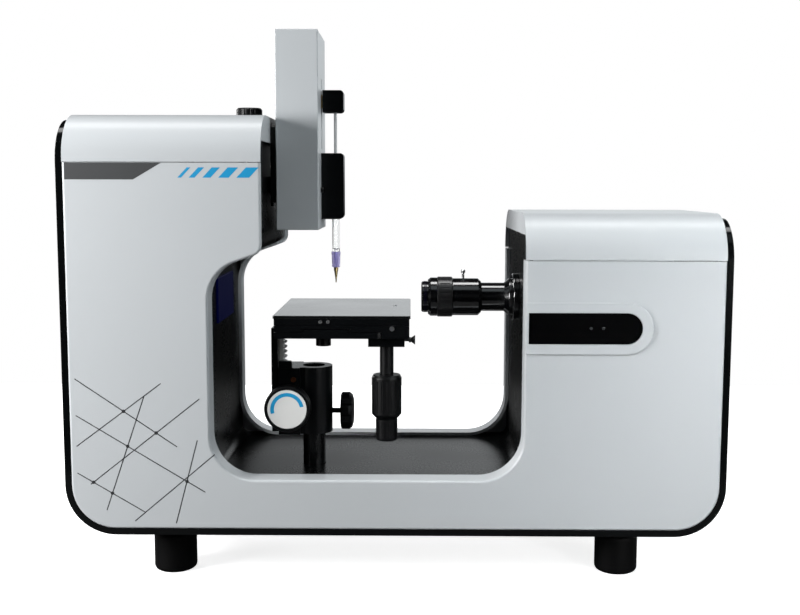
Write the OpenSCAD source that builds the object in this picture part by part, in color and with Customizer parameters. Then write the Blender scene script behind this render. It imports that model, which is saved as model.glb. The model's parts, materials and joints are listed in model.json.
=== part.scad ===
// Contact angle tester: a U-shaped bench housing with a dosing head, a sample stage and a lens.
// Millimetres, +Z up, +X to the right, and the front faces -Y.
// The origin is on the ground, in the middle of the housing.

/* [Housing] */
// Width over the rim band
body_w = 600; // [570:1:640]
// Depth over the front and rear covers
body_d = 218; // [210:1:240]
// Thickness of the rim band round the covers
rim_t = 6; // [4:0.5:8]
// Set-back of the rim band from the faces of the covers
rim_setback = 1.5; // [0.5:0.5:4]
// Drop of the rim band below the tower tops
rim_drop = 3; // [2:0.5:10]
// Wall of the covers
cover_t = 2.5; // [2:0.25:3]
// Depth of the folded returns of the covers
return_d = 22; // [16:1:26]
// Radius of the lower outer corners of the covers
corner_r = 40; // [30:1:44]
// Height of the base, from the covers' lower edge to the lip of the bay
base_h = 46; // [43:0.5:48]

/* [Towers] */
// Width of the right tower; the left one takes what the bay leaves
right_w = 178; // [172:1:182]
// Height of the left tower above the covers' lower edge
left_h = 375; // [370:1:390]
// Height of the right tower above the covers' lower edge
right_h = 287; // [280:1:300]
// Radius of the long edges of the top covers
top_r = 40; // [34:1:41]
// Depth of the seam below the top of the left tower
left_seam_drop = 43; // [42:0.5:46]
// Depth of the seam below the top of the right tower
right_seam_drop = 41; // [41:0.5:46]
// Height of the left top cover's end wall at the bay
left_cap_h = 24; // [20:0.5:25]
// Height of the right top cover's end wall at the bay
right_cap_h = 19; // [15:0.5:22]

/* [Bay] */
// Corner radius of the bay in the covers
bay_r = 40; // [30:1:46]
// Overhang of the left tower's head into the bay
overhang = 48.5; // [48:0.5:52]
// Depth from the tower top to the sloping underside at the overhang's face
overhang_h = 123; // [116:0.5:126]
// Slope of the underside
slope_a = 19; // [15:1:26]
// Inner radius between the underside and the tower wall
slope_r = 36; // [28:1:44]
// Radius of the overhang's lower corner
nose_r = 10; // [8:0.5:14]
// Thickness of the inner liner
liner_t = 3; // [2:0.25:4]
// Step from the covers' lip down to the liner
liner_step = 3.5; // [3:0.25:5]
// Corner radius of the liner
liner_r = 8; // [5:0.5:14]

/* [Feet] */
// Diameter of a foot
foot_d = 40; // [34:1:46]
// Height of a foot
foot_h = 46; // [38:1:56]
// Diameter of a foot's neck
foot_neck_d = 36; // [30:1:38]
// Height of the neck
foot_neck_h = 9; // [5:0.5:12]
// Chamfer at the bottom of a foot
foot_edge = 2.5; // [1:0.5:4]
// Distance between left and right feet
foot_span_x = 420; // [380:2:440]
// Distance between front and rear feet
foot_span_y = 124; // [100:2:130]
// Diameter of a foot's stud
foot_stud_d = 10; // [6:0.5:12]

/* [Frame] */
// Thickness of the base plate
base_plate_t = 6; // [4:0.5:8]
// Thickness of the tower frames
frame_t = 6; // [4:0.5:8]
// Depth of the tower frames
frame_d = 130; // [110:2:134]
// Length of a tower frame's foot
frame_foot = 24; // [16:1:24]
// Top of the right frame above the lens axis
right_frame_over = 34; // [28:1:36]
// Width of the power supply
supply_w = 38; // [30:1:38]
// Depth of the power supply
supply_d = 110; // [90:2:120]
// Height of the power supply
supply_h = 42; // [34:1:46]
// Diameter of a board spacer
spacer_d = 7; // [5:0.5:8]
// Length of a board spacer
spacer_h = 6; // [5:0.5:10]
// Side of the control board
board_w = 90; // [80:1:100]
// Thickness of the control board
board_t = 1.6; // [1.2:0.1:2]
// Height of the control board above the power supply
board_up = 16; // [10:1:24]
// Side of the chip on the control board
chip_w = 24; // [16:1:30]
// Height of the chip
chip_h = 3; // [2:0.25:4]
// Length of the plug on the control board
plug_l = 30; // [20:1:40]
// Width of the plug
plug_w = 12; // [8:1:14]
// Height of the plug
plug_h = 9; // [6:0.5:10]
// Distance of the board's spacers and plug from its edges
board_edge = 8; // [6:0.5:10]
// Number of vents in the power supply
vents = 7; // [5:1:8]
// Width of a vent
vent_w = 4; // [3:0.5:5]

/* [Window] */
// Height of the window slot's middle above the covers' lower edge
window_h = 185.2; // [180:0.2:195]
// Slot height
slot_h = 28; // [22:0.5:32]
// Slot length from the bay's edge
slot_l = 104.5; // [90:0.5:112]
// Width of the bezel round the slot
bezel_w = 9.5; // [7:0.5:11]
// Height of the bezel above the cover
bezel_t = 2; // [1:0.25:3]
// Thickness of the window panel
pane_t = 2; // [1.5:0.25:2.5]

/* [Rear panel] */
// Width of the connector plate
panel_w = 84; // [82:1:96]
// Height of the connector plate
panel_h = 46; // [42:1:56]
// Middle of the plate from the right edge of the covers
panel_in = 70; // [66:1:80]
// Middle of the plate above the covers' lower edge
panel_up = 84; // [78:1:110]
// Distance of the inlet and the data port from the plate's ends
panel_edge = 9; // [8:0.5:10]
// Distance of the switch from the middle of the plate
switch_off = 9; // [8:0.5:10]
// Width of the mains inlet
inlet_w = 27; // [26:0.5:29]
// Height of the mains inlet
inlet_h = 20; // [19:0.5:22]
// Width of the power switch
switch_w = 13; // [12:0.5:15]
// Height of the power switch
switch_h = 20; // [19:0.5:22]
// Width of the data port
port_w = 12; // [11:0.5:14]
// Height of the data port
port_h = 11; // [10:0.5:13]
// Angle of the rocker at rest
rocker_a = 9; // [6:1:12]

/* [Light] */
// Height of the lens axis above the covers' lower edge
lens_h = 202.7; // [196:0.1:208]
// Width of the light window
light_w = 80; // [64:1:96]
// Height of the light window
light_hh = 34; // [30:1:44]
// Depth of the light housing
light_d = 24; // [18:1:28]
// Wall of the light housing
light_wall = 3; // [2:0.25:4]
// Width of the rim round the light window
light_rim = 5; // [3:0.5:6]
// Projection of the light window from the liner
light_out = 2; // [1:0.25:3]

/* [Lens] */
// Length of the lens from the liner to its front
lens_l = 95; // [92:0.5:97]
// Gap between the stage and the lens
lens_gap = 11.725; // [11.225:0.025:16.225]
// Diameter of the front ring
front_ring_d = 30.3; // [28:0.1:32]
// Length of the front ring
front_ring_l = 6.5; // [5:0.5:8]
// Diameter of the front barrel
front_barrel_d = 38; // [36:0.2:40]
// Length of the front barrel
front_barrel_l = 9; // [7:0.5:11]
// Diameter of the grip ring
grip_d = 39.5; // [37:0.1:42]
// Length of the grip ring
grip_l = 15; // [12:0.5:17]
// Wall of the grip ring
grip_wall = 3; // [2.5:0.25:4]
// Diameter of the rear barrel
barrel_d = 36.6; // [34:0.1:38]
// Length of the rear barrel
barrel_l = 28; // [24:0.5:30]
// Diameter of the neck
neck_d = 28; // [25:0.5:29]
// Diameter of the rear flare
flare_d = 36; // [34:0.5:38]
// Length of the rear flare
flare_l = 8; // [6:0.5:10]
// Diameter of the wall flange
flange_d = 46; // [44:0.5:50]
// Thickness of the wall flange
flange_t = 6; // [4:0.5:7]
// Diameter of the tube through the liner
tube_d = 26; // [24:0.5:28]
// Diameter of the front glass
glass_d = 24; // [22:0.5:25]
// Thickness of the front glass
glass_t = 4; // [3:0.25:5]
// Side of the camera
camera_w = 50; // [44:1:56]
// Length of the camera
camera_l = 60; // [50:1:62]
// Distance from the liner to the camera
camera_in = 15; // [12:0.5:16]
// Diameter of the lens lock screw
lens_screw_d = 2.4; // [2:0.1:3]
// Height of the lens lock screw above the barrel
lens_screw_h = 8.5; // [6:0.5:10]

/* [Head lift] */
// Distance of the lift screw from the overhang's face
lift_in = 24.8; // [24:0.2:26]
// Diameter of the lift screw
lift_screw_d = 8; // [6:0.5:9]
// Diameter of the lift knob
lift_knob_d = 25; // [22:0.5:28]
// Height of the lift knob
lift_knob_h = 10.6; // [8:0.2:13]
// Distance of each guide rod from the lift screw
guide_y = 22; // [20:0.5:23]
// Diameter of a guide rod
guide_d = 8; // [6:0.5:9]
// Half width of the lift bracket
bracket_y = 32; // [30:0.5:36]
// Thickness of the lift bracket
bracket_t = 6; // [4:0.5:6.5]
// Depth of the carriage's underside below the tower top
carriage_drop = 73; // [72:0.5:75]
// Height of the carriage
carriage_h = 20; // [18:0.5:22]
// Width of the carriage
carriage_w = 28; // [24:0.5:29]
// Half depth of the carriage
carriage_y = 29; // [28:0.5:31]
// Half depth of the carriage arm
arm_y = 11; // [8:0.5:13]
// Height of the carriage arm
arm_h = 16; // [12:0.5:18]
// Travel of the head upwards
head_up = 28; // [20:1:28]
// Travel of the head downwards
head_down = 12; // [8:1:12]

/* [Dosing head] */
// Width of the head
head_w = 40; // [38:0.5:46]
// Depth of the head
head_d = 85; // [80:1:92]
// Height of the head
head_h = 186; // [182:1:196]
// Drop of the head's bottom below the top of the left tower
head_drop = 105.3; // [100:0.1:108]
// Wall of the head shell
head_wall = 2; // [1.5:0.25:2.5]
// Thickness of the head's back plate
head_back_t = 3; // [2:0.25:4]
// Thickness of the mount plate
mount_t = 5; // [4:0.25:6]
// Gap between the mount plate and the overhang's face
mount_gap = 0.5; // [0.3:0.1:1]
// Depth of the mount plate
mount_d = 78; // [70:1:84]
// Height of the mount plate
mount_h = 73; // [60:1:80]
// Reach of the mount plate below the middle of the carriage
mount_down = 17; // [12:0.5:24]
// Side of the dosing motor
motor_w = 28; // [24:0.5:28]
// Length of the dosing motor
motor_l = 32; // [28:1:34]
// Diameter of the dosing screw
dose_screw_d = 6; // [5:0.25:7]
// Distance of the dosing guide from the dosing screw
dose_guide_y = 20; // [18:0.5:24]
// Diameter of the dosing guide
dose_guide_d = 6; // [5:0.25:7]
// Height of the dosing nut
nut_h = 12; // [10:0.5:13]
// Half width of the dosing nut
nut_r = 9; // [8:0.25:10]
// Half depth of the pusher arm
pusher_arm_y = 3.5; // [3:0.25:5]
// Travel of the pusher upwards
pusher_up = 14; // [8:0.5:14]
// Travel of the pusher downwards
pusher_down = 38; // [30:0.5:38]

/* [Syringe] */
// Distance of the syringe from the head's side
syringe_out = 13.3; // [12.5:0.1:15]
// Reach of the clamp blocks from the head's side
clamp_out = 21.8; // [20:0.1:24]
// Half depth of the clamp blocks
clamp_y = 10; // [8:0.5:12]
// Gap between the pusher and the head's side
pusher_gap = 1.5; // [0.5:0.25:2]
// Height of the syringe holder
holder_h = 63.6; // [56:0.2:68]
// Height of the holder above the head's bottom
holder_up = 9.3; // [6:0.1:12]
// Corner radius of the holder's lower edge
holder_r = 5; // [3:0.5:7]
// Height of the pusher block
pusher_h = 21; // [17:0.5:23]
// Corner radius of the pusher block
pusher_r = 3.5; // [2:0.25:5]
// Outer diameter of the barrel
syringe_d = 7.5; // [6.5:0.1:8.5]
// Bore of the barrel
syringe_bore = 5.6; // [4.6:0.1:5.8]
// Length of the barrel below the holder
syringe_below = 32; // [28:0.5:36]
// Diameter of the plunger rod
plunger_d = 3; // [2:0.1:3.4]
// Height of the lowered plunger above the barrel's lower end
plunger_rest = 8; // [5:0.5:10]
// Diameter of the hub
hub_d = 8.8; // [8.2:0.1:10]
// Height of the hub
hub_h = 15.5; // [12:0.5:18]
// Length of the needle tip below the hub
tip_l = 15; // [12:0.5:18]
// Diameter of the tip at the hub
tip_d = 4.4; // [3.5:0.1:5]
// Diameter of the tip's end
tip_end_d = 1.1; // [0.8:0.1:1.6]

/* [Post and clamp] */
// Distance of the post from the bay's left edge
post_in = 87.5; // [86:0.5:90]
// Place of the post in depth, from the middle
post_y = -30; // [-36:0.5:-26]
// Diameter of the post
post_d = 21.7; // [20:0.1:23]
// Depth of the post's top inside the sleeve
post_short = 16; // [12:0.5:24]
// Outer diameter of the clamp sleeve
sleeve_d = 35.6; // [33:0.1:37]
// Drop of the sleeve's top below the stage top
sleeve_drop = 53.5; // [50:0.5:55]
// Height of the sleeve
sleeve_h = 64.5; // [62:0.5:68]
// Depth of the gear block
block_d = 40; // [36:0.5:44]
// Distance of the pinion from the post
pinion_in = 21; // [20.5:0.1:22]
// Height of the pinion above the sleeve's bottom
pinion_up = 30.6; // [28:0.1:34]
// Diameter of the pinion shafts
shaft_d = 8; // [7:0.25:8]
// Height of the lock screw above the sleeve's bottom
lock_up = 19.8; // [17:0.1:24]
// Diameter of the lock screw
lock_screw_d = 5; // [4:0.25:6]
// Length of the lock screw outside the sleeve
lock_screw_l = 8.4; // [7:0.1:12]
// Diameter of the lock knob
lock_knob_d = 36; // [32:0.5:38]
// Thickness of the lock knob
lock_knob_t = 12.2; // [10:0.2:13]
// Lobes of the lock knob
lock_lobes = 7; // [5:1:9]
// Travel of the clamp upwards on the post
clamp_up = 8; // [4:0.5:8]
// Travel of the clamp downwards
clamp_down = 5; // [3:0.5:5]

/* [Focus drive] */
// Diameter of the focus knob
focus_knob_d = 43; // [40:0.2:44]
// Thickness of the focus knob
focus_knob_t = 18; // [15:0.5:20]
// Distance from the gear block to the focus knob
focus_knob_gap = 12; // [8:0.5:14]
// Diameter of the focus knob's face plate
knob_face_d = 37; // [35:0.2:39]
// Recess of the face plate
knob_face_t = 1.2; // [0.8:0.1:2]
// Gear module of the racks and pinions
gear_m = 1.5; // [1.4:0.05:1.6]
// Teeth of a pinion
pinion_n = 8; // [8:1:8]
// Share of the tooth pitch that a tooth takes
tooth_share = 0.38; // [0.34:0.01:0.4]
// Flank angle of the teeth
tooth_a = 20; // [16:1:24]
// Width of the focus rack
rack_w = 10; // [8:0.5:12]
// Thickness of the focus rack behind its teeth
rack_t = 4; // [3:0.1:5]
// Thickness of the lift bar
bar_t = 6.3; // [5:0.1:8]
// Depth of the lift bar
bar_d = 36; // [30:0.5:40]
// Length of the lift bar below the stage
bar_below = 94; // [88:1:96]
// Travel of the stage upwards
focus_up = 12; // [8:0.5:12]
// Travel of the stage downwards
focus_down = 15; // [10:0.5:15]

/* [Stage] */
// Width of the stage
stage_w = 125; // [120:0.5:126]
// Depth of the stage
stage_d = 156; // [146:1:160]
// Depth of the stage top below the lens axis
stage_under = 10.2; // [8:0.1:13]
// Thickness of the top plate
top_plate_t = 3; // [2:0.1:3.5]
// Overhang of the top plate over the tables
plate_over = 1; // [0.5:0.1:1.4]
// Thickness of the cross table
x_table_t = 6.2; // [5.8:0.1:7]
// Thickness of the long table
y_table_t = 5.7; // [5.3:0.1:7]
// Thickness of the stage base
stage_base_t = 5.9; // [5:0.1:6.5]
// Height of the dovetail ways
way_h = 2.6; // [2:0.1:2.8]
// Width of the dovetail ways
way_w = 44; // [36:1:50]
// Undercut of the dovetail ways
way_cut = 1.2; // [0.8:0.1:1.6]
// Distance of the drive knobs from the stage's right edge
drive_in = 21.5; // [20:0.5:23]
// Place of the drive knobs in depth, from the middle
drive_y = -48; // [-52:0.5:-44]
// Width of the drive block
drive_w = 34; // [30:0.5:36]
// Height of the drive block
drive_h = 9; // [8:0.5:11]
// Diameter of the outer drive tube
drive_tube_d = 13; // [11:0.25:13.5]
// Diameter of the inner drive shaft
drive_shaft_d = 6; // [5:0.25:6.5]
// Length of the drive tube below the block
drive_tube_l = 28.8; // [26:0.2:30]
// Diameter of the upper knob
upper_knob_d = 28.4; // [26:0.1:30]
// Height of the upper knob
upper_knob_h = 41.6; // [38:0.2:42]
// Diameter of the lower knob
lower_knob_d = 20.8; // [18:0.2:24]
// Height of the lower knob
lower_knob_h = 21.5; // [20:0.5:25]
// Diameter of the boss under the stage
boss_d = 14.5; // [12:0.5:17]
// Distance of the boss from the post's axis
boss_in = 9.3; // [6:0.1:12]
// Height of the boss
boss_h = 13; // [10:0.5:13]
// Diameter of the stage lock screw
stage_screw_d = 3; // [2.5:0.1:4]
// Length of the stage lock screw's wing
stage_wing_l = 6; // [5:0.25:7]
// Height of the stage lock screw's wing
stage_wing_h = 9; // [7:0.25:10]
// Travel of the cross table to the left
x_left = 15; // [8:0.5:15]
// Travel of the cross table to the right
x_right = 10; // [6:0.5:10]
// Travel of the long table each way
y_reach = 24; // [15:0.5:24]

/* [Clearances] */
// Gap between covers that meet at a seam
seam_gap = 0.6; // [0.3:0.1:1]
// Gap between fitted pieces of one body
fit_gap = 0.25; // [0.1:0.05:0.4]
// Gap between pieces that slide past each other
slide_gap = 0.3; // [0.2:0.05:0.5]
// Radial gap of a running fit
run_gap = 0.05; // [0.03:0.01:0.08]
// Room round a piece that passes through an opening
pass_gap = 1; // [0.6:0.1:1.5]

/* [Hidden] */
$fn = 64;
// A small overlap that joins or cuts cleanly
eps = 0.01;
// Longer than any piece, for cutting tools
far = 2 * body_w;

half_w = body_w / 2 - rim_t;
half_d = body_d / 2;
z_low = foot_h + rim_t;
z_lip = z_low + base_h;
z_floor = z_lip - liner_step;
z_base = z_low + base_plate_t;
left_top = z_low + left_h;
right_top = z_low + right_h;
left_seam = left_top - left_seam_drop;
right_seam = right_top - right_seam_drop;
left_cap = left_top - left_cap_h;
right_cap = right_top - right_cap_h;

// Racks and pinions
pinion_r = gear_m * pinion_n / 2;
tooth_pitch = PI * gear_m;
addendum = 0.65 * gear_m;
dedendum = 1.15 * gear_m;

// The bay holds the post, the stage, the gap and the lens side by side
bay_w = post_in - pinion_in - pinion_r - dedendum - rack_t + stage_w + lens_gap + lens_l - liner_step;
bay_x1 = half_w - right_w;
bay_x0 = bay_x1 - bay_w;
bay_mid = (bay_x0 + bay_x1) / 2;
face_x = bay_x0 + overhang;
nose_z = left_top - overhang_h;
liner_out = liner_step + liner_t;
lens_z = z_low + lens_h;

// Tower frames and what they carry
light_x1 = bay_x0 - liner_out;
light_x0 = light_x1 - light_d;
left_frame_x = light_x0 - frame_t;
camera_x0 = bay_x1 + liner_out + camera_in;
right_frame_x = camera_x0 + camera_l;

// Head lift
lift_x = face_x - lift_in;
carriage_z = left_top - carriage_drop;
arm_z = carriage_z + (carriage_h - arm_h) / 2;
bracket_z0 = carriage_z - head_down - slide_gap - bracket_t;
bracket_z1 = carriage_z + carriage_h + head_up + slide_gap;
bracket_x1 = face_x - liner_out - pass_gap;
lift_z1 = left_top + slide_gap + lift_knob_h;

// Dosing head
mount_x0 = face_x + mount_gap;
head_x0 = mount_x0 + mount_t;
head_x1 = head_x0 + head_w;
head_z0 = left_top - head_drop;
head_z1 = head_z0 + head_h;
mount_z0 = carriage_z + carriage_h / 2 - mount_down;
dose_x = head_x0 + head_back_t + (head_w - head_back_t - head_wall) / 2;
motor_z0 = head_z1 - head_wall - motor_l - fit_gap;
holder_z0 = head_z0 + holder_up;
holder_z1 = holder_z0 + holder_h;
pusher_z0 = holder_z1 + pusher_down + pass_gap;
pusher_z1 = pusher_z0 + pusher_h;
nut_z0 = pusher_z0 + (pusher_h - nut_h) / 2;
syringe_x = head_x1 + syringe_out;
barrel_z0 = holder_z0 - syringe_below;
hub_z0 = barrel_z0 - hub_h;
plunger_z0 = barrel_z0 + pusher_down + plunger_rest;

// Stage, from the lens axis downwards
stage_top = lens_z - stage_under;
x_table_z = stage_top - top_plate_t - x_table_t;
y_table_z = x_table_z - slide_gap - y_table_t;
stage_base_z = y_table_z - slide_gap - stage_base_t;
post_x = bay_x0 + post_in;
sleeve_z1 = stage_top - sleeve_drop;
sleeve_z0 = sleeve_z1 - sleeve_h;
pinion_x = post_x - pinion_in;
pinion_z = sleeve_z0 + pinion_up;
rack_x = pinion_x - pinion_r;
rack_root = rack_x - dedendum;
bar_x1 = rack_root - rack_t;
bar_x0 = bar_x1 - bar_t;
block_x0 = bar_x1 + slide_gap;
stage_x0 = bar_x1;
stage_x1 = stage_x0 + stage_w;
bar_z0 = stage_base_z - bar_below;
bar_z1 = stage_base_z + stage_base_t;
drive_x = stage_x1 - drive_in;
stage_base_x1 = drive_x - pinion_r - dedendum;
drive_z0 = stage_base_z - slide_gap - drive_h;
upper_z1 = drive_z0 - drive_tube_l;
upper_z0 = upper_z1 - upper_knob_h;
lower_z0 = upper_z0 - slide_gap - lower_knob_h;
drive_gear_z = stage_base_z + 0.4;
drive_gear_h = stage_base_t - 0.8;
cross_gear_z = x_table_z + 0.5;
cross_gear_h = 3;

// Colours
silver = [0.78, 0.80, 0.81];
gloss_black = [0.05, 0.05, 0.055];
soft_black = [0.09, 0.09, 0.095];
steel = [0.66, 0.67, 0.68];
brass = [0.78, 0.60, 0.28];
board_green = [0.10, 0.32, 0.20];

// An outline in X and Z, drawn out between two depths
module along_y(y0, y1)
    translate([0, y1, 0]) rotate([90, 0, 0]) linear_extrude(height = y1 - y0) children();

// An outline in Y and Z, drawn out between two widths
module along_x(x0, x1)
    translate([x0, 0, 0]) rotate([90, 0, 90]) linear_extrude(height = x1 - x0) children();

// A box between low and high limits in each direction
module block(x, y, z)
    translate([x[0], y[0], z[0]]) cube([x[1] - x[0], y[1] - y[0], z[1] - z[0]]);

module rod_x(x0, x1, y, z, d)
    translate([x0, y, z]) rotate([0, 90, 0]) cylinder(h = x1 - x0, d = d);

module rod_y(y0, y1, x, z, d)
    translate([x, y1, z]) rotate([90, 0, 0]) cylinder(h = y1 - y0, d = d);

module rod_z(z0, z1, x, y, d)
    translate([x, y, z0]) cylinder(h = z1 - z0, d = d);

// A turned piece on an upright axis, from points of radius and height
module turned(x, y, points)
    translate([x, y, 0]) rotate_extrude() polygon(points);

// A rectangle with round lower corners
module low_round(x0, x1, z0, z1, r) {
    translate([x0, z0 + r]) square([x1 - x0, z1 - z0 - r]);
    translate([x0 + r, z0]) square([x1 - x0 - 2 * r, z1 - z0]);
    for (x = [x0 + r, x1 - r]) translate([x, z0 + r]) circle(r);
}

// A rectangle with round upper corners
module high_round(y0, y1, z0, z1, r) {
    intersection() {
        union() {
            translate([y0, z0]) square([y1 - y0, z1 - z0 - r]);
            translate([y0 + r, z0]) square([y1 - y0 - 2 * r, z1 - z0]);
            for (y = [y0 + r, y1 - r]) translate([y, z1 - r]) circle(r);
        }
        translate([y0, z0]) square([y1 - y0, z1 - z0]);
    }
}

// A rectangle with every corner round
module round_box(x0, x1, z0, z1, r) {
    translate([x0, z0 + r]) square([x1 - x0, z1 - z0 - 2 * r]);
    translate([x0 + r, z0]) square([x1 - x0 - 2 * r, z1 - z0]);
    for (x = [x0 + r, x1 - r]) for (z = [z0 + r, z1 - r]) translate([x, z]) circle(r);
}

// Section of a tower top, drawn in by an inset
module tower_section(top, low, inset)
    high_round(-half_d + inset, half_d - inset, low, top - inset, top_r - inset);

// Height of the sloping underside at x, drawn up into the tower by grow
function slope_z(x, grow) = nose_z + (x - face_x) * tan(slope_a) + grow / cos(slope_a);

// The overhang of the left tower, drawn in by grow, with a root radius of its own
module overhang_section(grow, rr) {
    turn = (90 + slope_a) / 2;
    dir = [cos(slope_a), sin(slope_a)];
    nose = [face_x - grow, slope_z(face_x - grow, grow)];
    root = [bay_x0 - grow, slope_z(bay_x0 - grow, grow)];
    nr = nose_r - grow;
    nt = nr / tan(turn);
    rt = rr / tan(turn);
    nose_c = nose + [-nr, nt];
    root_c = root + [rr, -rt];
    difference() {
        polygon([root, nose, [nose[0], far], [root[0], far]]);
        polygon([nose + [1, 0], nose + [1, nt], nose_c, nose - nt * dir, nose - [0, 1]]);
    }
    translate(nose_c) circle(nr);
    // Fillet at the root, carried up into the overhang so that the two join
    over = [0, nose_r];
    difference() {
        polygon([root + over, root - [0, rt], root_c, root + rt * dir, root + rt * dir + over]);
        translate(root_c) circle(rr + eps);
    }
}

// The bay between the towers, grown into the housing by grow, with lower and root radii
module bay_section(grow, r, root_r) {
    difference() {
        low_round(bay_x0 - grow, bay_x1 + grow, z_lip - grow, far, r);
        overhang_section(grow, root_r);
    }
}

// The outside of the covers, drawn in by an inset
module outer_section(inset)
    low_round(-half_w + inset, half_w - inset, z_low + inset, far / 2, corner_r - inset);

// Everything below the seams of the two towers
module below_seams() {
    translate([-far, 0]) square([far + bay_mid, left_seam - seam_gap]);
    translate([bay_mid, 0]) square([far, right_seam - seam_gap]);
}

// Face of the front and rear covers
module cover_section(inset, grow) {
    difference() {
        intersection() {
            outer_section(inset);
            below_seams();
        }
        bay_section(grow, bay_r + grow, slope_r + grow);
    }
}

// A cover with its folded returns, at the front
module cover_tray() {
    along_y(-half_d, -half_d + cover_t) cover_section(fit_gap, 0);
    difference() {
        along_y(-half_d, -half_d + return_d) difference() {
            cover_section(fit_gap, 0);
            cover_section(fit_gap + cover_t, cover_t);
        }
        // The overhang's face has no return, so the liner shows from the edge of the cover
        block([face_x - nose_r, face_x + 1], [-half_d + cover_t, 0], [nose_z - nose_r, far]);
    }
}

// A slot with one round end, drawn out from the bay's edge
module slot_section(grow, start) {
    z = z_low + window_h;
    r = slot_h / 2 + grow;
    x1 = bay_x1 + slot_l + grow;
    translate([bay_x1 + start, z - r]) square([x1 - r - bay_x1 - start, 2 * r]);
    translate([x1 - r, z]) circle(r);
}

slot_start = cover_t + 2 * fit_gap;
panel_x = half_w - panel_in;
panel_z = z_low + panel_up;
inlet_x = panel_x - panel_w / 2 + panel_edge + inlet_w / 2;
switch_x = panel_x + switch_off;
port_x = panel_x + panel_w / 2 - panel_edge - port_w / 2;

// Openings of the connector plate, each with a margin
module connector_cuts(m) {
    cuts = [[inlet_x, inlet_w, inlet_h], [switch_x, switch_w, switch_h], [port_x, port_w, port_h]];
    for (c = cuts)
        block([c[0] - c[1] / 2 - m, c[0] + c[1] / 2 + m], [0, far], [panel_z - c[2] / 2 - m, panel_z + c[2] / 2 + m]);
}

module front_cover() {
    color(silver) difference() {
        cover_tray();
        along_y(-far, 0) slot_section(fit_gap, slot_start);
    }
}

module rear_cover() {
    color(silver) difference() {
        mirror([0, 1, 0]) cover_tray();
        block([panel_x - panel_w / 2 + 5, panel_x + panel_w / 2 - 5], [0, far],
            [panel_z - panel_h / 2 + 5, panel_z + panel_h / 2 - 5]);
    }
}

// A hollow top cover between two ends, open below the seam
module top_cover(x0, x1, top, seam) {
    difference() {
        along_x(x0, x1) tower_section(top, seam, 0);
        along_x(x0 + cover_t, x1 - cover_t) tower_section(top, seam - 1, cover_t);
    }
}

// Opening under the end wall of a top cover, up to a height
module end_opening(x0, x1, top, cap) {
    intersection() {
        along_x(x0, x1) tower_section(top, 0, cover_t);
        block([x0 - 1, x1 + 1], [-far, far], [0, cap]);
    }
}

module left_top_cover() {
    color(silver) difference() {
        top_cover(-half_w + fit_gap, face_x, left_top, left_seam);
        end_opening(face_x - cover_t - eps, face_x + 1, left_top, left_cap);
        rod_z(left_seam, far, lift_x, 0, lift_screw_d + 2 * pass_gap);
    }
}

module right_top_cover() {
    color(silver) difference() {
        top_cover(bay_x1, half_w - fit_gap, right_top, right_seam);
        end_opening(bay_x1 - 1, bay_x1 + cover_t + eps, right_top, right_cap);
    }
}

// Foot places, as x and y
feet = [for (x = [-foot_span_x / 2, foot_span_x / 2]) for (y = [-foot_span_y / 2, foot_span_y / 2]) [x, y]];

module rim_band() {
    color(gloss_black) difference() {
        intersection() {
            along_y(-half_d + rim_setback, half_d - rim_setback) difference() {
                low_round(-body_w / 2, body_w / 2, foot_h, left_top, corner_r + rim_t);
                outer_section(0);
            }
            union() {
                along_x(-far, 0) tower_section(left_top - rim_drop, 0, rim_setback);
                along_x(0, far) tower_section(right_top - rim_drop, 0, rim_setback);
            }
        }
        for (p = feet) rod_z(0, z_low + 1, p[0], p[1], foot_stud_d + 2 * fit_gap);
    }
}

module inner_liner() {
    reach = half_d - cover_t - fit_gap;
    tuck = 4;
    color(gloss_black) difference() {
        intersection() {
            along_y(-reach, reach) difference() {
                bay_section(liner_out, liner_r + liner_t, liner_r + liner_t);
                bay_section(liner_step, liner_r, liner_r);
            }
            union() {
                along_x(-far, bay_mid) tower_section(left_top, 0, cover_t + fit_gap);
                along_x(bay_mid, far) tower_section(right_top, 0, cover_t + fit_gap);
            }
            union() {
                block([-far, bay_mid], [-far, far], [0, left_cap + tuck]);
                block([bay_mid, far], [-far, far], [0, right_cap + tuck]);
            }
        }
        // Slot for the carriage arm
        block([face_x - liner_out - 1, face_x], [-arm_y - pass_gap, arm_y + pass_gap],
            [arm_z - head_down - pass_gap, arm_z + arm_h + head_up + pass_gap]);
        // Light window
        block([light_x1 - 1, bay_x0], [-light_w / 2 - fit_gap, light_w / 2 + fit_gap],
            [lens_z - light_hh / 2 - fit_gap, lens_z + light_hh / 2 + fit_gap]);
        // Lens tube
        rod_x(bay_x1, bay_x1 + liner_out + 1, 0, lens_z, tube_d + 2 * fit_gap);
        // Stage post
        rod_z(0, z_lip, post_x, post_y, post_d + 2 * fit_gap);
    }
}

module rubber_feet() {
    r = foot_d / 2;
    neck = foot_neck_d / 2;
    color(soft_black) for (p = feet) {
        turned(p[0], p[1], [
            [0, 0], [r - foot_edge, 0], [r, foot_edge], [r, foot_h - foot_neck_h - 2],
            [neck, foot_h - foot_neck_h], [neck, foot_h], [foot_stud_d / 2, foot_h],
            [foot_stud_d / 2, z_base - 1], [0, z_base - 1]
        ]);
    }
}

module base_plate() {
    y = half_d - return_d - pass_gap;
    x = half_w - corner_r;
    color(steel) difference() {
        block([-x, x], [-y, y], [z_low, z_base]);
        for (p = feet) rod_z(0, z_base + 1, p[0], p[1], foot_stud_d + 2 * fit_gap);
    }
}

module left_frame() {
    x1 = left_frame_x + frame_t;
    color(steel) {
        block([left_frame_x, x1], [-frame_d / 2, frame_d / 2], [z_base, bracket_z1 + bracket_t]);
        block([left_frame_x, x1 + frame_foot], [-frame_d / 2, frame_d / 2], [z_base, z_base + frame_t]);
    }
}

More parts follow.
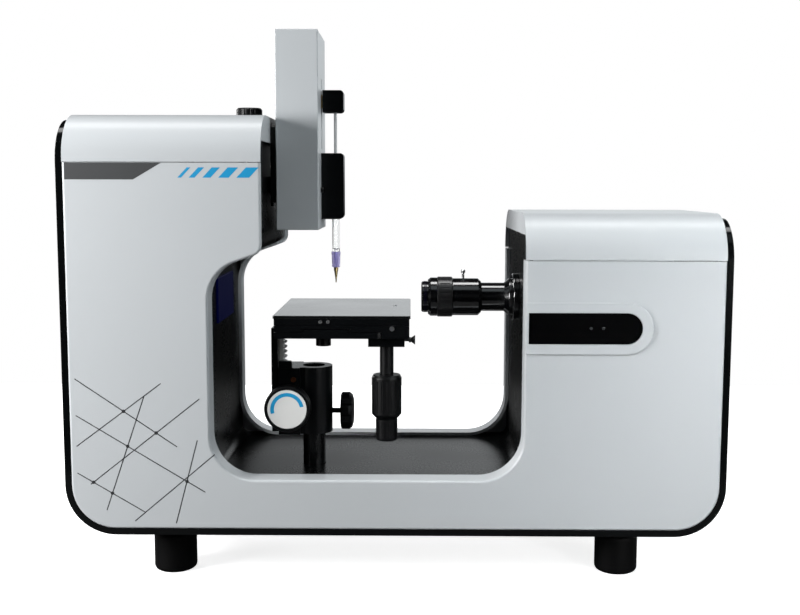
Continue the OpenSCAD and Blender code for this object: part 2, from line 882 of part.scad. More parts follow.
module right_frame() {
    x1 = right_frame_x + frame_t;
    color(steel) {
        block([right_frame_x, x1], [-frame_d / 2, frame_d / 2], [z_base, lens_z + right_frame_over]);
        block([right_frame_x - frame_foot, x1], [-frame_d / 2, frame_d / 2], [z_base, z_base + frame_t]);
    }
}

module power_supply() {
    x0 = right_frame_x + frame_t + pass_gap;
    edge = supply_w / 6;
    step = supply_d / (vents + 1);
    color(steel) difference() {
        block([x0, x0 + supply_w], [-supply_d / 2, supply_d / 2], [z_base, z_base + supply_h]);
        for (i = [1 : vents]) translate([0, -supply_d / 2 + i * step, 0])
            block([x0 + edge, x0 + supply_w - edge], [-vent_w / 2, vent_w / 2],
                [z_base + supply_h - vent_w, z_base + supply_h + 1]);
    }
}

module control_board() {
    x0 = right_frame_x + frame_t;
    x1 = x0 + spacer_h;
    z0 = z_base + supply_h + board_up;
    z = z0 + board_w / 2;
    half = board_w / 2;
    e = half - board_edge;
    x2 = x1 + board_t;
    color(board_green) {
        block([x1, x2], [-half, half], [z0, z0 + board_w]);
        for (y = [-e, e]) for (dz = [-e, e]) rod_x(x0, x1 + eps, y, z + dz, spacer_d);
        block([x2 - eps, x2 + chip_h], [-chip_w / 2, chip_w / 2], [z - chip_w / 2, z + chip_w / 2]);
        block([x2 - eps, x2 + plug_h], [e - plug_w, e], [z - plug_l / 2, z + plug_l / 2]);
    }
}

module window_bezel() {
    color(silver) along_y(-half_d - bezel_t, -half_d) difference() {
        slot_section(bezel_w, fit_gap);
        slot_section(0, slot_start);
    }
}

module window_panel() {
    color(gloss_black) along_y(-half_d, -half_d + pane_t) slot_section(0, slot_start + fit_gap);
}

module connector_plate() {
    color(soft_black) difference() {
        block([panel_x - panel_w / 2, panel_x + panel_w / 2], [half_d, half_d + bezel_t],
            [panel_z - panel_h / 2, panel_z + panel_h / 2]);
        connector_cuts(fit_gap);
    }
}

module mains_inlet() {
    depth = 20;
    wall = 2.5;
    pin_w = 2;
    pin_h = 4;
    pins = [[-7, -2], [0, 3], [7, -2]];
    y1 = half_d + bezel_t;
    color(soft_black) difference() {
        block([inlet_x - inlet_w / 2, inlet_x + inlet_w / 2], [y1 - depth, y1],
            [panel_z - inlet_h / 2, panel_z + inlet_h / 2]);
        block([inlet_x - inlet_w / 2 + wall, inlet_x + inlet_w / 2 - wall], [y1 - depth + wall, y1 + 1],
            [panel_z - inlet_h / 2 + wall, panel_z + inlet_h / 2 - wall]);
    }
    color(steel) for (p = pins)
        block([inlet_x + p[0] - pin_w / 2, inlet_x + p[0] + pin_w / 2], [y1 - depth + wall - 1, y1 - 2],
            [panel_z + p[1] - pin_h / 2, panel_z + p[1] + pin_h / 2]);
}

module data_port() {
    depth = 14;
    wall = 1;
    y1 = half_d + bezel_t;
    color(steel) difference() {
        block([port_x - port_w / 2, port_x + port_w / 2], [y1 - depth, y1], [panel_z - port_h / 2, panel_z + port_h / 2]);
        block([port_x - port_w / 2 + wall, port_x + port_w / 2 - wall], [y1 - depth + wall, y1 + 1],
            [panel_z - port_h / 2 + wall, panel_z + port_h / 2 - wall]);
    }
}

// Rocker whose two faces meet at its pivot, a little inside the plate
rocker_r = switch_h / 2;
rocker_y = half_d + bezel_t - 8;
rocker_pin = 3;

module rocker_switch() {
    w = switch_w - 2 * slide_gap;
    reach = rocker_r - 1.2;
    rise = half_d + bezel_t - rocker_y - reach * sin(rocker_a);
    color(soft_black) translate([switch_x, rocker_y, panel_z]) rotate([rocker_a, 0, 0]) {
        translate([-w / 2, 0, 0]) rotate([90, 0, 90]) linear_extrude(height = w) {
            polygon([[0, -rocker_pin], [rise, -reach], [rise - 1.2, 0], [rise, reach], [0, rocker_pin]]);
            circle(rocker_pin);
        }
    }
}

module light_housing() {
    y = light_w / 2 + light_wall;
    z = light_hh / 2 + light_wall;
    color(soft_black) difference() {
        block([light_x0, light_x1], [-y, y], [lens_z - z, lens_z + z]);
        block([light_x0 + light_wall, light_x1 + 1], [-light_w / 2, light_w / 2],
            [lens_z - light_hh / 2, lens_z + light_hh / 2]);
    }
}

module led_board() {
    x0 = light_x0 + light_wall;
    rows = 4;
    cols = 5;
    w = light_w - 2 * fit_gap;
    h = light_hh - 2 * fit_gap;
    color("white") {
        block([x0, x0 + board_t], [-w / 2, w / 2], [lens_z - h / 2, lens_z + h / 2]);
        for (i = [0 : cols - 1]) for (j = [0 : rows - 1])
            rod_x(x0 + board_t - eps, x0 + board_t + 1, (i - (cols - 1) / 2) * w / cols,
                lens_z + (j - (rows - 1) / 2) * h / rows, 5);
    }
}

module light_window() {
    w = light_w - 2 * fit_gap;
    h = light_hh - 2 * fit_gap;
    x1 = bay_x0 - liner_step;
    color([0.12, 0.16, 0.42]) {
        block([light_x1, x1 + eps], [-w / 2, w / 2], [lens_z - h / 2, lens_z + h / 2]);
        block([x1, x1 + light_out], [-w / 2 - light_rim, w / 2 + light_rim],
            [lens_z - h / 2 - light_rim, lens_z + h / 2 + light_rim]);
    }
}

module camera_body() {
    ribs = 5;
    w = camera_w / 2;
    color(soft_black) difference() {
        block([camera_x0, right_frame_x], [-w, w], [lens_z - w, lens_z + w]);
        for (i = [0 : ribs - 1])
            block([camera_x0 + 10 + i * 9, camera_x0 + 14 + i * 9], [-w + 4, w - 4], [lens_z + w - 3, lens_z + w + 1]);
    }
}

// Lens places along X, from the wall to the front
wall_x = bay_x1 + liner_step;
flange_x = wall_x - flange_t;
lens_x0 = wall_x - lens_l;
barrel_x0 = lens_x0 + front_ring_l;
grip_x0 = barrel_x0 + front_barrel_l;
grip_x1 = grip_x0 + grip_l;
rear_x1 = grip_x1 + barrel_l;
neck_x1 = flange_x - flare_l;

// A turned piece on the lens axis, from points of radius and x
module turned_lens(points)
    translate([0, 0, lens_z]) rotate([0, 90, 0]) rotate_extrude() polygon(points);

module lens_mount() {
    flange_r = flange_d / 2;
    color(gloss_black) turned_lens([
        [0, rear_x1], [neck_d / 2, rear_x1], [neck_d / 2, neck_x1], [flare_d / 2, neck_x1 + flare_l * 0.6],
        [flare_d / 2, flange_x], [flange_r - 1, flange_x], [flange_r, flange_x + 1], [flange_r, wall_x],
        [tube_d / 2, wall_x], [tube_d / 2, camera_x0], [0, camera_x0]
    ]);
}

module lens_barrel() {
    core = grip_d / 2 - grip_wall;
    bore = glass_d / 2;
    screw_x = (grip_x1 + rear_x1) / 2 - 3.5;
    color(gloss_black) difference() {
        turned_lens([
            [0, barrel_x0], [bore, barrel_x0], [bore, lens_x0], [front_ring_d / 2 - 1, lens_x0],
            [front_ring_d / 2, lens_x0 + 1], [front_ring_d / 2, barrel_x0], [front_barrel_d / 2 - 2, barrel_x0],
            [front_barrel_d / 2, barrel_x0 + 2.5], [front_barrel_d / 2, grip_x0 - slide_gap],
            [core, grip_x0 - slide_gap], [core, grip_x1 + slide_gap], [barrel_d / 2, grip_x1 + slide_gap],
            [barrel_d / 2, rear_x1 - 3], [barrel_d / 2 - 3, rear_x1], [0, rear_x1]
        ]);
        rod_z(lens_z + barrel_d / 4, far, screw_x, 0, lens_screw_d + 2 * run_gap);
    }
}

module lens_glass() {
    color([0.30, 0.26, 0.45]) rod_x(barrel_x0 - glass_t, barrel_x0, 0, lens_z, glass_d - 2 * run_gap);
}

module grip_ring() {
    core = grip_d / 2 - grip_wall + run_gap;
    r = grip_d / 2;
    grooves = 24;
    groove_d = 1.6;
    color([0.32, 0.32, 0.34]) difference() {
        turned_lens([
            [core, grip_x0], [r - 0.8, grip_x0], [r, grip_x0 + 0.8], [r, grip_x1 - 0.8], [r - 0.8, grip_x1], [core, grip_x1]
        ]);
        for (i = [0 : grooves - 1]) translate([0, 0, lens_z]) rotate([i * 360 / grooves, 0, 0])
            rod_x(grip_x0 + 2.5, grip_x1 - 2.5, 0, r + 0.3, groove_d);
    }
}

module lens_lock_screw() {
    x = (grip_x1 + rear_x1) / 2 - 3.5;
    z0 = lens_z + barrel_d / 4 + 0.5;
    z1 = lens_z + barrel_d / 2 + lens_screw_h;
    r = lens_screw_d / 2;
    color(steel) turned(x, 0, [
        [0, z0], [r, z0], [r, z1 - 3.5], [r + 0.9, z1 - 3], [r + 0.9, z1 - 0.6], [r + 0.3, z1], [0, z1]
    ]);
}

module lift_bracket() {
    x0 = light_x0;
    color(steel) difference() {
        union() {
            block([x0, x0 + bracket_t], [-bracket_y, bracket_y], [bracket_z0, bracket_z1 + bracket_t]);
            for (z = [bracket_z0, bracket_z1])
                block([x0, bracket_x1], [-bracket_y, bracket_y], [z, z + bracket_t]);
        }
        rod_z(0, far, lift_x, 0, lift_screw_d + 2 * run_gap);
        for (y = [-guide_y, guide_y]) rod_z(0, far, lift_x, y, guide_d + 2 * run_gap);
    }
}

module guide_rods() {
    color(steel) for (y = [-guide_y, guide_y])
        rod_z(bracket_z0, bracket_z1 + bracket_t, lift_x, y, guide_d);
}

// The collars above and below the bracket keep the screw from rising
module lift_screw() {
    r = lift_screw_d / 2;
    collar = r + 3;
    collar_h = 4;
    low = bracket_z0 - slide_gap;
    high = bracket_z1 + bracket_t + slide_gap;
    color(steel) turned(lift_x, 0, [
        [0, low - collar_h], [collar, low - collar_h], [collar, low], [r, low], [r, high], [collar, high],
        [collar, high + collar_h], [r, high + collar_h], [r, lift_z1 - 3], [0, lift_z1 - 3]
    ]);
}

module lift_knob() {
    r = lift_knob_d / 2;
    bore = lift_screw_d / 2 + run_gap;
    z0 = lift_z1 - lift_knob_h;
    flutes = 18;
    color(soft_black) difference() {
        turned(lift_x, 0, [
            [bore, z0], [r - 0.6, z0], [r, z0 + 0.6], [r, lift_z1 - 1.6], [r - 1.6, lift_z1], [0, lift_z1],
            [0, lift_z1 - 3], [bore, lift_z1 - 3]
        ]);
        for (i = [0 : flutes - 1]) rotate_about(lift_x, 0, i * 360 / flutes)
            rod_z(z0 - 1, lift_z1 + 1, r + 0.5, 0, 2.4);
    }
}

// Turns a piece about an upright axis that passes x and y
module rotate_about(x, y, a)
    translate([x, y, 0]) rotate([0, 0, a]) children();

module lift_carriage() {
    color(soft_black) difference() {
        union() {
            block([lift_x - carriage_w / 2, lift_x + carriage_w / 2], [-carriage_y, carriage_y],
                [carriage_z, carriage_z + carriage_h]);
            block([lift_x, mount_x0], [-arm_y, arm_y], [arm_z, arm_z + arm_h]);
        }
        rod_z(0, far, lift_x, 0, lift_screw_d + 2 * run_gap);
        for (y = [-guide_y, guide_y]) rod_z(0, far, lift_x, y, guide_d + 2 * run_gap);
    }
}

module mount_plate() {
    r = 4;
    color(soft_black) along_x(mount_x0, head_x0)
        round_box(-mount_d / 2, mount_d / 2, mount_z0, mount_z0 + mount_h, r);
}

module head_back() {
    y = head_d / 2 - head_wall - fit_gap;
    color(silver) block([head_x0, head_x0 + head_back_t], [-y, y], [head_z0 + head_wall + fit_gap, head_z1 - head_wall - fit_gap]);
}

module head_shell() {
    y = head_d / 2;
    in = head_wall;
    color(silver) difference() {
        block([head_x0, head_x1], [-y, y], [head_z0, head_z1]);
        block([head_x0 - 1, head_x1 - in], [-y + in, y - in], [head_z0 + in, head_z1 - in]);
        // Slot for the pusher arm
        block([head_x1 - in - 1, head_x1 + 1], [-pusher_arm_y - pass_gap, pusher_arm_y + pass_gap],
            [nut_z0 - pusher_down - pass_gap, nut_z0 + nut_h + pusher_up + pass_gap]);
    }
}

module dosing_motor() {
    w = motor_w / 2;
    z1 = motor_z0 + motor_l;
    x0 = head_x0 + head_back_t;
    chamfer = 3;
    color(soft_black) difference() {
        union() {
            translate([dose_x, 0, motor_z0]) linear_extrude(height = motor_l) polygon([
                [-w + chamfer, -w], [w - chamfer, -w], [w, -w + chamfer], [w, w - chamfer],
                [w - chamfer, w], [-w + chamfer, w], [-w, w - chamfer], [-w, -w + chamfer]
            ]);
            // Bracket to the back plate
            block([x0, dose_x], [-w + chamfer, w - chamfer], [motor_z0, motor_z0 + 6]);
        }
        rod_z(motor_z0 - 1, z1 - 6, dose_x, 0, dose_screw_d + 2 * run_gap);
    }
}

// Guide rod with its two brackets on the back plate
module dosing_guide() {
    x0 = head_x0 + head_back_t;
    r = dose_guide_d;
    z0 = head_z0 + head_wall + 6;
    z1 = motor_z0 - pass_gap;
    foot = 6;
    color(steel) difference() {
        union() {
            rod_z(z0, z1, dose_x, dose_guide_y, dose_guide_d);
            block([x0, dose_x + r], [dose_guide_y - r, dose_guide_y + r], [z0, z0 + foot]);
            block([x0, dose_x + r], [-r, dose_guide_y], [z0, z0 + foot]);
            block([x0, dose_x], [dose_guide_y - r / 2, dose_guide_y + r / 2], [z1 - foot / 2, z1]);
        }
        rod_z(z0 - 1, z0 + foot + 1, dose_x, 0, dose_screw_d + 2 * run_gap);
    }
}

module dosing_screw() {
    z0 = head_z0 + head_wall + 6 + 1;
    color(steel) rod_z(z0, motor_z0 + motor_l - 7, dose_x, 0, dose_screw_d);
}

module dosing_nut() {
    arm_x1 = head_x1 + pusher_gap;
    color(brass) difference() {
        union() {
            block([dose_x - nut_r, dose_x + nut_r], [-nut_r, dose_guide_y + nut_r - 2], [nut_z0, nut_z0 + nut_h]);
            block([dose_x, arm_x1], [-pusher_arm_y, pusher_arm_y], [nut_z0, nut_z0 + nut_h]);
        }
        rod_z(0, far, dose_x, 0, dose_screw_d + 2 * run_gap);
        rod_z(0, far, dose_x, dose_guide_y, dose_guide_d + 2 * run_gap);
    }
}

// Clamp block section seen from the front, with round corners on its free side
module clamp_section(x0, z0, z1, r_low, r_high) {
    x1 = head_x1 + clamp_out;
    difference() {
        translate([x0, z0]) square([x1 - x0, z1 - z0]);
        translate([x1 - r_low, z0 - 1]) square([r_low + 1, r_low + 1]);
        translate([x1 - r_high, z1 - r_high]) square([r_high + 1, r_high + 1]);
    }
    translate([x1 - r_low, z0 + r_low]) circle(r_low);
    translate([x1 - r_high, z1 - r_high]) circle(r_high);
}

module pusher_block() {
    color(soft_black) difference() {
        along_y(-clamp_y, clamp_y) clamp_section(head_x1 + pusher_gap, pusher_z0, pusher_z1, pusher_r, pusher_r);
        rod_z(pusher_z0 - 1, pusher_z0 + pusher_h / 2, syringe_x, 0, plunger_d + 2 * run_gap);
    }
}

module plunger() {
    r = plunger_d / 2;
    seal = syringe_bore / 2 - run_gap;
    seal_h = 5;
    z1 = pusher_z0 + pusher_h / 2;
    color(steel) turned(syringe_x, 0, [
        [0, plunger_z0], [seal - 0.5, plunger_z0], [seal, plunger_z0 + 0.8], [seal, plunger_z0 + seal_h],
        [r, plunger_z0 + seal_h], [r, z1], [0, z1]
    ]);
}

module syringe_holder() {
    color(soft_black) difference() {
        along_y(-clamp_y, clamp_y) clamp_section(head_x1, holder_z0, holder_z1, holder_r, pusher_r);
        rod_z(0, far, syringe_x, 0, syringe_d + 2 * run_gap);
    }
}

module syringe_barrel() {
    r = syringe_d / 2;
    bore = syringe_bore / 2;
    color([0.86, 0.90, 0.92]) turned(syringe_x, 0, [
        [1, barrel_z0], [r, barrel_z0], [r, holder_z1 - 1], [bore, holder_z1 - 1], [bore, barrel_z0 + 3], [1, barrel_z0 + 2]
    ]);
}

module needle_hub() {
    r = hub_d / 2;
    fit = tip_d / 2;
    color([0.47, 0.47, 0.66]) turned(syringe_x, 0, [
        [1, hub_z0], [r - 0.9, hub_z0], [r - 0.5, hub_z0 + 0.6], [r - 0.2, barrel_z0 - 3.2], [r, barrel_z0 - 3],
        [r, barrel_z0], [fit - 0.6, barrel_z0], [fit - 0.8, hub_z0 + 4], [1, hub_z0 + 3]
    ]);
}

module needle() {
    z0 = hub_z0 - tip_l;
    e = tip_end_d / 2;
    color([0.80, 0.62, 0.30]) turned(syringe_x, 0, [
        [0, z0], [e, z0], [e + 0.1, z0 + 3], [tip_d / 2 - 0.3, hub_z0 - 3.4], [tip_d / 2, hub_z0 - 3], [tip_d / 2, hub_z0], [0, hub_z0]
    ]);
}

post_top = sleeve_z1 - post_short;

module stage_post() {
    r = post_d / 2;
    color(soft_black) turned(post_x, post_y, [
        [0, z_base], [r, z_base], [r, post_top - 1], [r - 1, post_top], [0, post_top]
    ]);
}

// Flat rack outline: teeth point along +X from the root line and repeat along Y
module rack_teeth(count) {
    half = tooth_share * tooth_pitch / 2;
    tip = half - addendum * tan(tooth_a);
    root = half + dedendum * tan(tooth_a);
    for (i = [0 : count - 1]) translate([0, (i - (count - 1) / 2) * tooth_pitch])
        polygon([[-dedendum - eps, -root], [addendum, -tip], [addendum, tip], [-dedendum - eps, root]]);
}

// Flat pinion outline, with a tooth gap facing along -X
module pinion_section() {
    half = tooth_share * tooth_pitch / 2;
    tip = half - addendum * tan(tooth_a);
    root = half + dedendum * tan(tooth_a) * 0.6;
    circle(pinion_r - dedendum);
    for (i = [0 : pinion_n - 1]) rotate((i + 0.5) * 360 / pinion_n)
        polygon([[0, -root], [pinion_r - dedendum, -root], [pinion_r + addendum, -tip], [pinion_r + addendum, tip],
            [pinion_r - dedendum, root], [0, root]]);
}

// The focus rack runs from a few teeth below the pinion up to the stage
rack_below = 4;
rack_z0 = pinion_z - (rack_below + 1) * tooth_pitch;
rack_z1 = stage_base_z - slide_gap;
rack_count = floor((rack_z1 - rack_z0) / tooth_pitch) - 1;

module clamp_body() {
    y0 = post_y - block_d / 2;
    y1 = post_y + block_d / 2;
    groove = rack_w / 2 + slide_gap;
    room = pinion_r + addendum + 0.6;
    color(soft_black) difference() {
        union() {
            rod_z(sleeve_z0, sleeve_z1, post_x, post_y, sleeve_d);
            block([block_x0, post_x], [y0 + 4, y1 - 4], [sleeve_z0, sleeve_z1]);
            block([block_x0, pinion_x + pinion_r + 3], [y0, y1], [sleeve_z0, sleeve_z1]);
        }
        rod_z(0, far, post_x, post_y, post_d + 2 * run_gap);
        // Room for the rack and the pinion
        block([block_x0 - 1, rack_x + addendum + slide_gap], [post_y - groove, post_y + groove], [0, far]);
        rod_y(post_y - groove, post_y + groove, pinion_x, pinion_z, 2 * room);
        rod_y(-far, far, pinion_x, pinion_z, shaft_d + 2 * run_gap);
        // Lock screw
        rod_x(post_x, far, post_y, sleeve_z0 + lock_up, lock_screw_d + 2 * run_gap);
    }
}

module lock_knob() {
    z = sleeve_z0 + lock_up;
    x0 = post_x + post_d / 2 + slide_gap;
    x1 = post_x + sleeve_d / 2 + lock_screw_l;
    r = lock_knob_d / 2;
    lobe = 5;
    color(soft_black) difference() {
        union() {
            rod_x(x0, x1 + eps, post_y, z, lock_screw_d);
            translate([0, post_y, z]) rotate([0, 90, 0]) rotate_extrude() polygon([
                [0, x1], [7, x1], [r - 1.5, x1], [r, x1 + 1.5], [r, x1 + lock_knob_t - 4],
                [r - 2, x1 + lock_knob_t - 1.2], [r - 6, x1 + lock_knob_t], [0, x1 + lock_knob_t]
            ]);
        }
        for (i = [0 : lock_lobes - 1]) translate([0, post_y, z]) rotate([i * 360 / lock_lobes, 0, 0])
            rod_x(x1 - 1, x1 + lock_knob_t + 1, 0, r + lobe * 0.55, 2 * lobe);
    }
}

focus_y1 = post_y - block_d / 2;
focus_knob_y1 = focus_y1 - focus_knob_gap;
focus_knob_y0 = focus_knob_y1 - focus_knob_t;

module focus_pinion() {
    collar = shaft_d / 2 + 2;
    gap = slide_gap;
    gear = rack_w / 2 - 0.5;
    rear = post_y + block_d / 2;
    color(steel) {
        rod_y(focus_knob_y0 + 6, rear + gap + 4, pinion_x, pinion_z, shaft_d);
        rod_y(rear + gap, rear + gap + 4, pinion_x, pinion_z, 2 * collar);
        rod_y(focus_knob_y1, focus_y1 - gap, pinion_x, pinion_z, 2 * collar);
        translate([pinion_x, post_y + gear, pinion_z]) rotate([90, 0, 0]) linear_extrude(height = 2 * gear)
            pinion_section();
    }
}

module focus_knob() {
    r = focus_knob_d / 2;
    face = knob_face_d / 2;
    bore = shaft_d / 2 + run_gap;
    y0 = focus_knob_y0;
    y1 = focus_knob_y1;
    color(soft_black) translate([pinion_x, 0, pinion_z]) rotate([-90, 0, 0]) rotate_extrude() polygon([
        [0, y0 + knob_face_t], [face, y0 + knob_face_t], [face, y0], [r - 0.8, y0], [r, y0 + 0.8], [r, y1 - 5],
        [r - 1.5, y1 - 3.5], [r - 1.5, y1 - 1], [r - 2.5, y1], [bore, y1], [bore, y0 + 6], [0, y0 + 6]
    ]);
}

module lift_bar() {
    color(soft_black) block([bar_x0, bar_x1], [post_y - bar_d / 2, post_y + bar_d / 2], [bar_z0, bar_z1]);
}

module focus_rack() {
    y0 = post_y - rack_w / 2;
    y1 = post_y + rack_w / 2;
    // The teeth stand so that the pinion's gap faces one of them at rest
    z = pinion_z + ((rack_count - 1) / 2 - rack_below) * tooth_pitch;
    color(steel) {
        block([bar_x1, rack_root], [y0, y1], [rack_z0, rack_z1]);
        translate([rack_x, 0, z]) along_y(y0, y1) rack_teeth(rack_count);
    }
}

// Dovetail way along Y on the stage base, and its groove with a margin
module way_section(z0, m) {
    h = way_h + m;
    w = way_w / 2 + m;
    polygon([[-w + way_cut, z0], [-w, z0 + h], [w, z0 + h], [w - way_cut, z0]]);
}

stage_mid = (stage_x0 + stage_base_x1) / 2;

module stage_base() {
    y = stage_d / 2;
    z1 = stage_base_z + stage_base_t;
    teeth = 2 * floor((y + drive_y - 1) / tooth_pitch) + 1;
    boss_x = post_x + boss_in;
    color(soft_black) {
        block([stage_x0, stage_base_x1], [-y, y], [stage_base_z, z1]);
        translate([stage_mid, 0, 0]) along_y(-y, y) way_section(z1 - eps, 0);
        // Rack for the long table
        translate([drive_x - pinion_r, drive_y, stage_base_z]) linear_extrude(height = stage_base_t) rack_teeth(teeth);
        rod_z(stage_base_z - boss_h, stage_base_z + eps, boss_x, post_y, boss_d);
    }
}

module y_table() {
    y = stage_d / 2;
    z1 = y_table_z + y_table_t;
    skirt_x = drive_x - pinion_r + 2;
    room = pinion_r + addendum + 0.6;
    color(soft_black) difference() {
        union() {
            block([stage_x0, stage_x1], [-y, y], [y_table_z, z1]);
            // Way for the cross table
            along_x(stage_x0, stage_x1) way_section(z1 - eps, 0);
            // Skirt that carries the drive block
            block([skirt_x, stage_x1], [-y, y], [stage_base_z, y_table_z + eps]);
        }
        translate([stage_mid, 0, 0]) along_y(-far, far) way_section(y_table_z - slide_gap, slide_gap);
        rod_z(0, y_table_z - slide_gap, drive_x, drive_y, 2 * room);
        rod_z(0, far, drive_x, drive_y, drive_shaft_d + 2 * run_gap);
    }
}

module drive_block() {
    w = drive_w / 2;
    top = stage_base_z - slide_gap;
    skirt_x = drive_x - pinion_r + 2;
    x1 = drive_x + w;
    color(soft_black) difference() {
        union() {
            block([drive_x - w, x1], [drive_y - w, drive_y + w], [drive_z0, top]);
            block([skirt_x + slide_gap, x1], [drive_y - w, drive_y + w], [drive_z0, stage_base_z]);
        }
        rod_z(0, far, drive_x, drive_y, drive_tube_d + 2 * run_gap);
        rod_x(drive_x + drive_tube_d, far, drive_y, drive_z0 + drive_h / 2, stage_screw_d + 2 * run_gap);
    }
}

// Knob with shallow flutes round its grip
module fluted_knob(x, y, points, r, z0, z1, flutes) {
    difference() {
        turned(x, y, points);
        for (i = [0 : flutes - 1]) rotate_about(x, y, i * 360 / flutes) rod_z(z0, z1, r + 0.4, 0, 1.8);
    }
}

module y_knob() {
    r = upper_knob_d / 2;
    tube = drive_tube_d / 2;
    bore = drive_shaft_d / 2 + run_gap;
    // The tube narrows under the gear, clear of the rack's teeth
    neck = pinion_r - dedendum;
    neck_z = stage_base_z - slide_gap;
    gear_z1 = drive_gear_z + drive_gear_h;
    color(soft_black) {
        fluted_knob(drive_x, drive_y, [
            [bore, upper_z0], [r - 4, upper_z0], [r - 3, upper_z0 + 0.6], [r, upper_z0 + 4], [r, upper_z1 - 3],
            [r - 1.5, upper_z1], [tube, upper_z1], [tube, neck_z], [neck, neck_z], [neck, drive_gear_z],
            [bore, drive_gear_z]
        ], r, upper_z0 + 6, upper_z1 - 5, 20);
        difference() {
            translate([drive_x, drive_y, drive_gear_z - eps])
                linear_extrude(height = drive_gear_h + eps) pinion_section();
            rod_z(0, gear_z1 + 1, drive_x, drive_y, 2 * bore);
        }
    }
}

module x_knob() {
    r = lower_knob_d / 2;
    shaft = drive_shaft_d / 2;
    z1 = upper_z0 - slide_gap;
    top = cross_gear_z + cross_gear_h;
    color(soft_black) {
        fluted_knob(drive_x, drive_y, [
            [0, lower_z0], [r - 2, lower_z0], [r - 0.5, lower_z0 + 0.8], [r, lower_z0 + 2.5], [r, z1 - 1],
            [r - 1, z1], [shaft, z1], [shaft, top], [0, top]
        ], r, lower_z0 + 4, z1 - 3, 16);
        translate([drive_x, drive_y, cross_gear_z]) rotate([0, 0, 90])
            linear_extrude(height = cross_gear_h) pinion_section();
    }
}

module stage_lock_screw() {
    x0 = drive_x + drive_tube_d + 0.5;
    x1 = drive_x + drive_w / 2 + 4;
    z = drive_z0 + drive_h / 2;
    wing_t = 2.2;
    color(steel) {
        rod_x(x0, x1 + eps, drive_y, z, stage_screw_d);
        rod_x(x1, x1 + 2, drive_y, z, stage_screw_d + 2);
        translate([x1 + 2 - eps, drive_y, z]) rotate([90, 0, 0]) translate([0, 0, -wing_t / 2])
            linear_extrude(height = wing_t)
                polygon([[0, -1.8], [stage_wing_l - 2, -stage_wing_h / 2], [stage_wing_l - 2, stage_wing_h / 2], [0, 1.8]]);
    }
}

module x_table() {
    y = stage_d / 2;
    z1 = x_table_z + x_table_t;
    teeth = 14;
    room = pinion_r + addendum + 0.8;
    gear_z1 = cross_gear_z + cross_gear_h + 0.5;
    rack_y = drive_y - pinion_r;
    color(soft_black) difference() {
        block([stage_x0, stage_x1], [-y, y], [x_table_z, z1]);
        along_x(-far, far) way_section(x_table_z - slide_gap, slide_gap);
        // Groove for the cross pinion, with its rack along one side
        difference() {
            block([stage_x1 - 2 * drive_in - room, far], [rack_y - dedendum, drive_y + room], [0, gear_z1]);
            translate([drive_x - tooth_pitch / 2, rack_y, 0]) rotate([0, 0, 90])
                linear_extrude(height = far) rack_teeth(teeth);
        }
    }
}

module stage_plate() {
    y = stage_d / 2 + plate_over;
    z0 = stage_top - top_plate_t;
    color(soft_black) along_z(z0, stage_top) round_box(stage_x0 - plate_over, stage_x1 + plate_over, -y, y, 2);
}

// An outline in X and Y, drawn up between two heights
module along_z(z0, z1)
    translate([0, 0, z0]) linear_extrude(height = z1 - z0) children();

front_cover();
rear_cover();
left_top_cover();
right_top_cover();
rim_band();
inner_liner();
rubber_feet();
base_plate();
left_frame();
right_frame();
power_supply();
control_board();
window_bezel();
window_panel();
connector_plate();
mains_inlet();
data_port();
rocker_switch();
light_housing();
led_board();
light_window();
camera_body();
lens_mount();
lens_barrel();
lens_glass();
grip_ring();
lens_lock_screw();
lift_bracket();
guide_rods();
lift_screw();
lift_knob();
lift_carriage();
mount_plate();
head_back();
head_shell();
dosing_motor();
dosing_guide();
dosing_screw();
dosing_nut();
pusher_block();
plunger();
syringe_holder();
syringe_barrel();
needle_hub();
needle();
stage_post();
clamp_body();
lock_knob();
focus_pinion();
focus_knob();
lift_bar();
focus_rack();
stage_base();
y_table();
drive_block();
y_knob();
x_knob();
stage_lock_screw();
x_table();
stage_plate();
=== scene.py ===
import json
import math

import bmesh
import bpy
from mathutils import Matrix, Vector


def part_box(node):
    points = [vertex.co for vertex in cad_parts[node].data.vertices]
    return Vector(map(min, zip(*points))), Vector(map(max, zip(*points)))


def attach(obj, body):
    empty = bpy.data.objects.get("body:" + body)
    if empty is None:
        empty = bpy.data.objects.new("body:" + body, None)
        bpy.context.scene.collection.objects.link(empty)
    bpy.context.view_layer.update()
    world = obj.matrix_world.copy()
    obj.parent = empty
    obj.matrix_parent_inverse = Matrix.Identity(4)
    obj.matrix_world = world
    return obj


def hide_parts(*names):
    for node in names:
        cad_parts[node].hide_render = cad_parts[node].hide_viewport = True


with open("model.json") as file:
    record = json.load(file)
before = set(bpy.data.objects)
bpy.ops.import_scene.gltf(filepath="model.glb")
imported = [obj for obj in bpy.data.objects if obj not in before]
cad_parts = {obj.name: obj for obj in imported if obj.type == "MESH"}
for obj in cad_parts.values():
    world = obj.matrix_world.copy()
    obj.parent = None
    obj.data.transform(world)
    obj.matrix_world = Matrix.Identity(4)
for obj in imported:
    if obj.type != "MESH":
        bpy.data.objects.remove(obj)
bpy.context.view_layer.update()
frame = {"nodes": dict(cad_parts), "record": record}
scene = bpy.context.scene
scene.view_settings.view_transform = "Standard"
nodes = frame["nodes"]
record = frame["record"]
slotOf = {part["node"]: part["material_slot"] for part in record["subparts"]}
bodyOf = {node: body for body, members in record["behaviour"]["bodies"].items() for node in members}
print("frame loaded,", len(nodes), "nodes")


# modelling helpers

meshSpec = {
    "merge": 2e-6,          # metres
    "flat": 0.3,            # degrees; faces this close to level are joined
    "sharp": 35,            # edges sharper than this are rounded
    "smooth": 32,           # and edges softer than this are shaded smooth
}
quarterTurn = math.radians(90)


def pick(*pieces):
    bpy.ops.object.select_all(action="DESELECT")
    for piece in pieces:
        piece.select_set(True)
    bpy.context.view_layer.objects.active = pieces[-1]


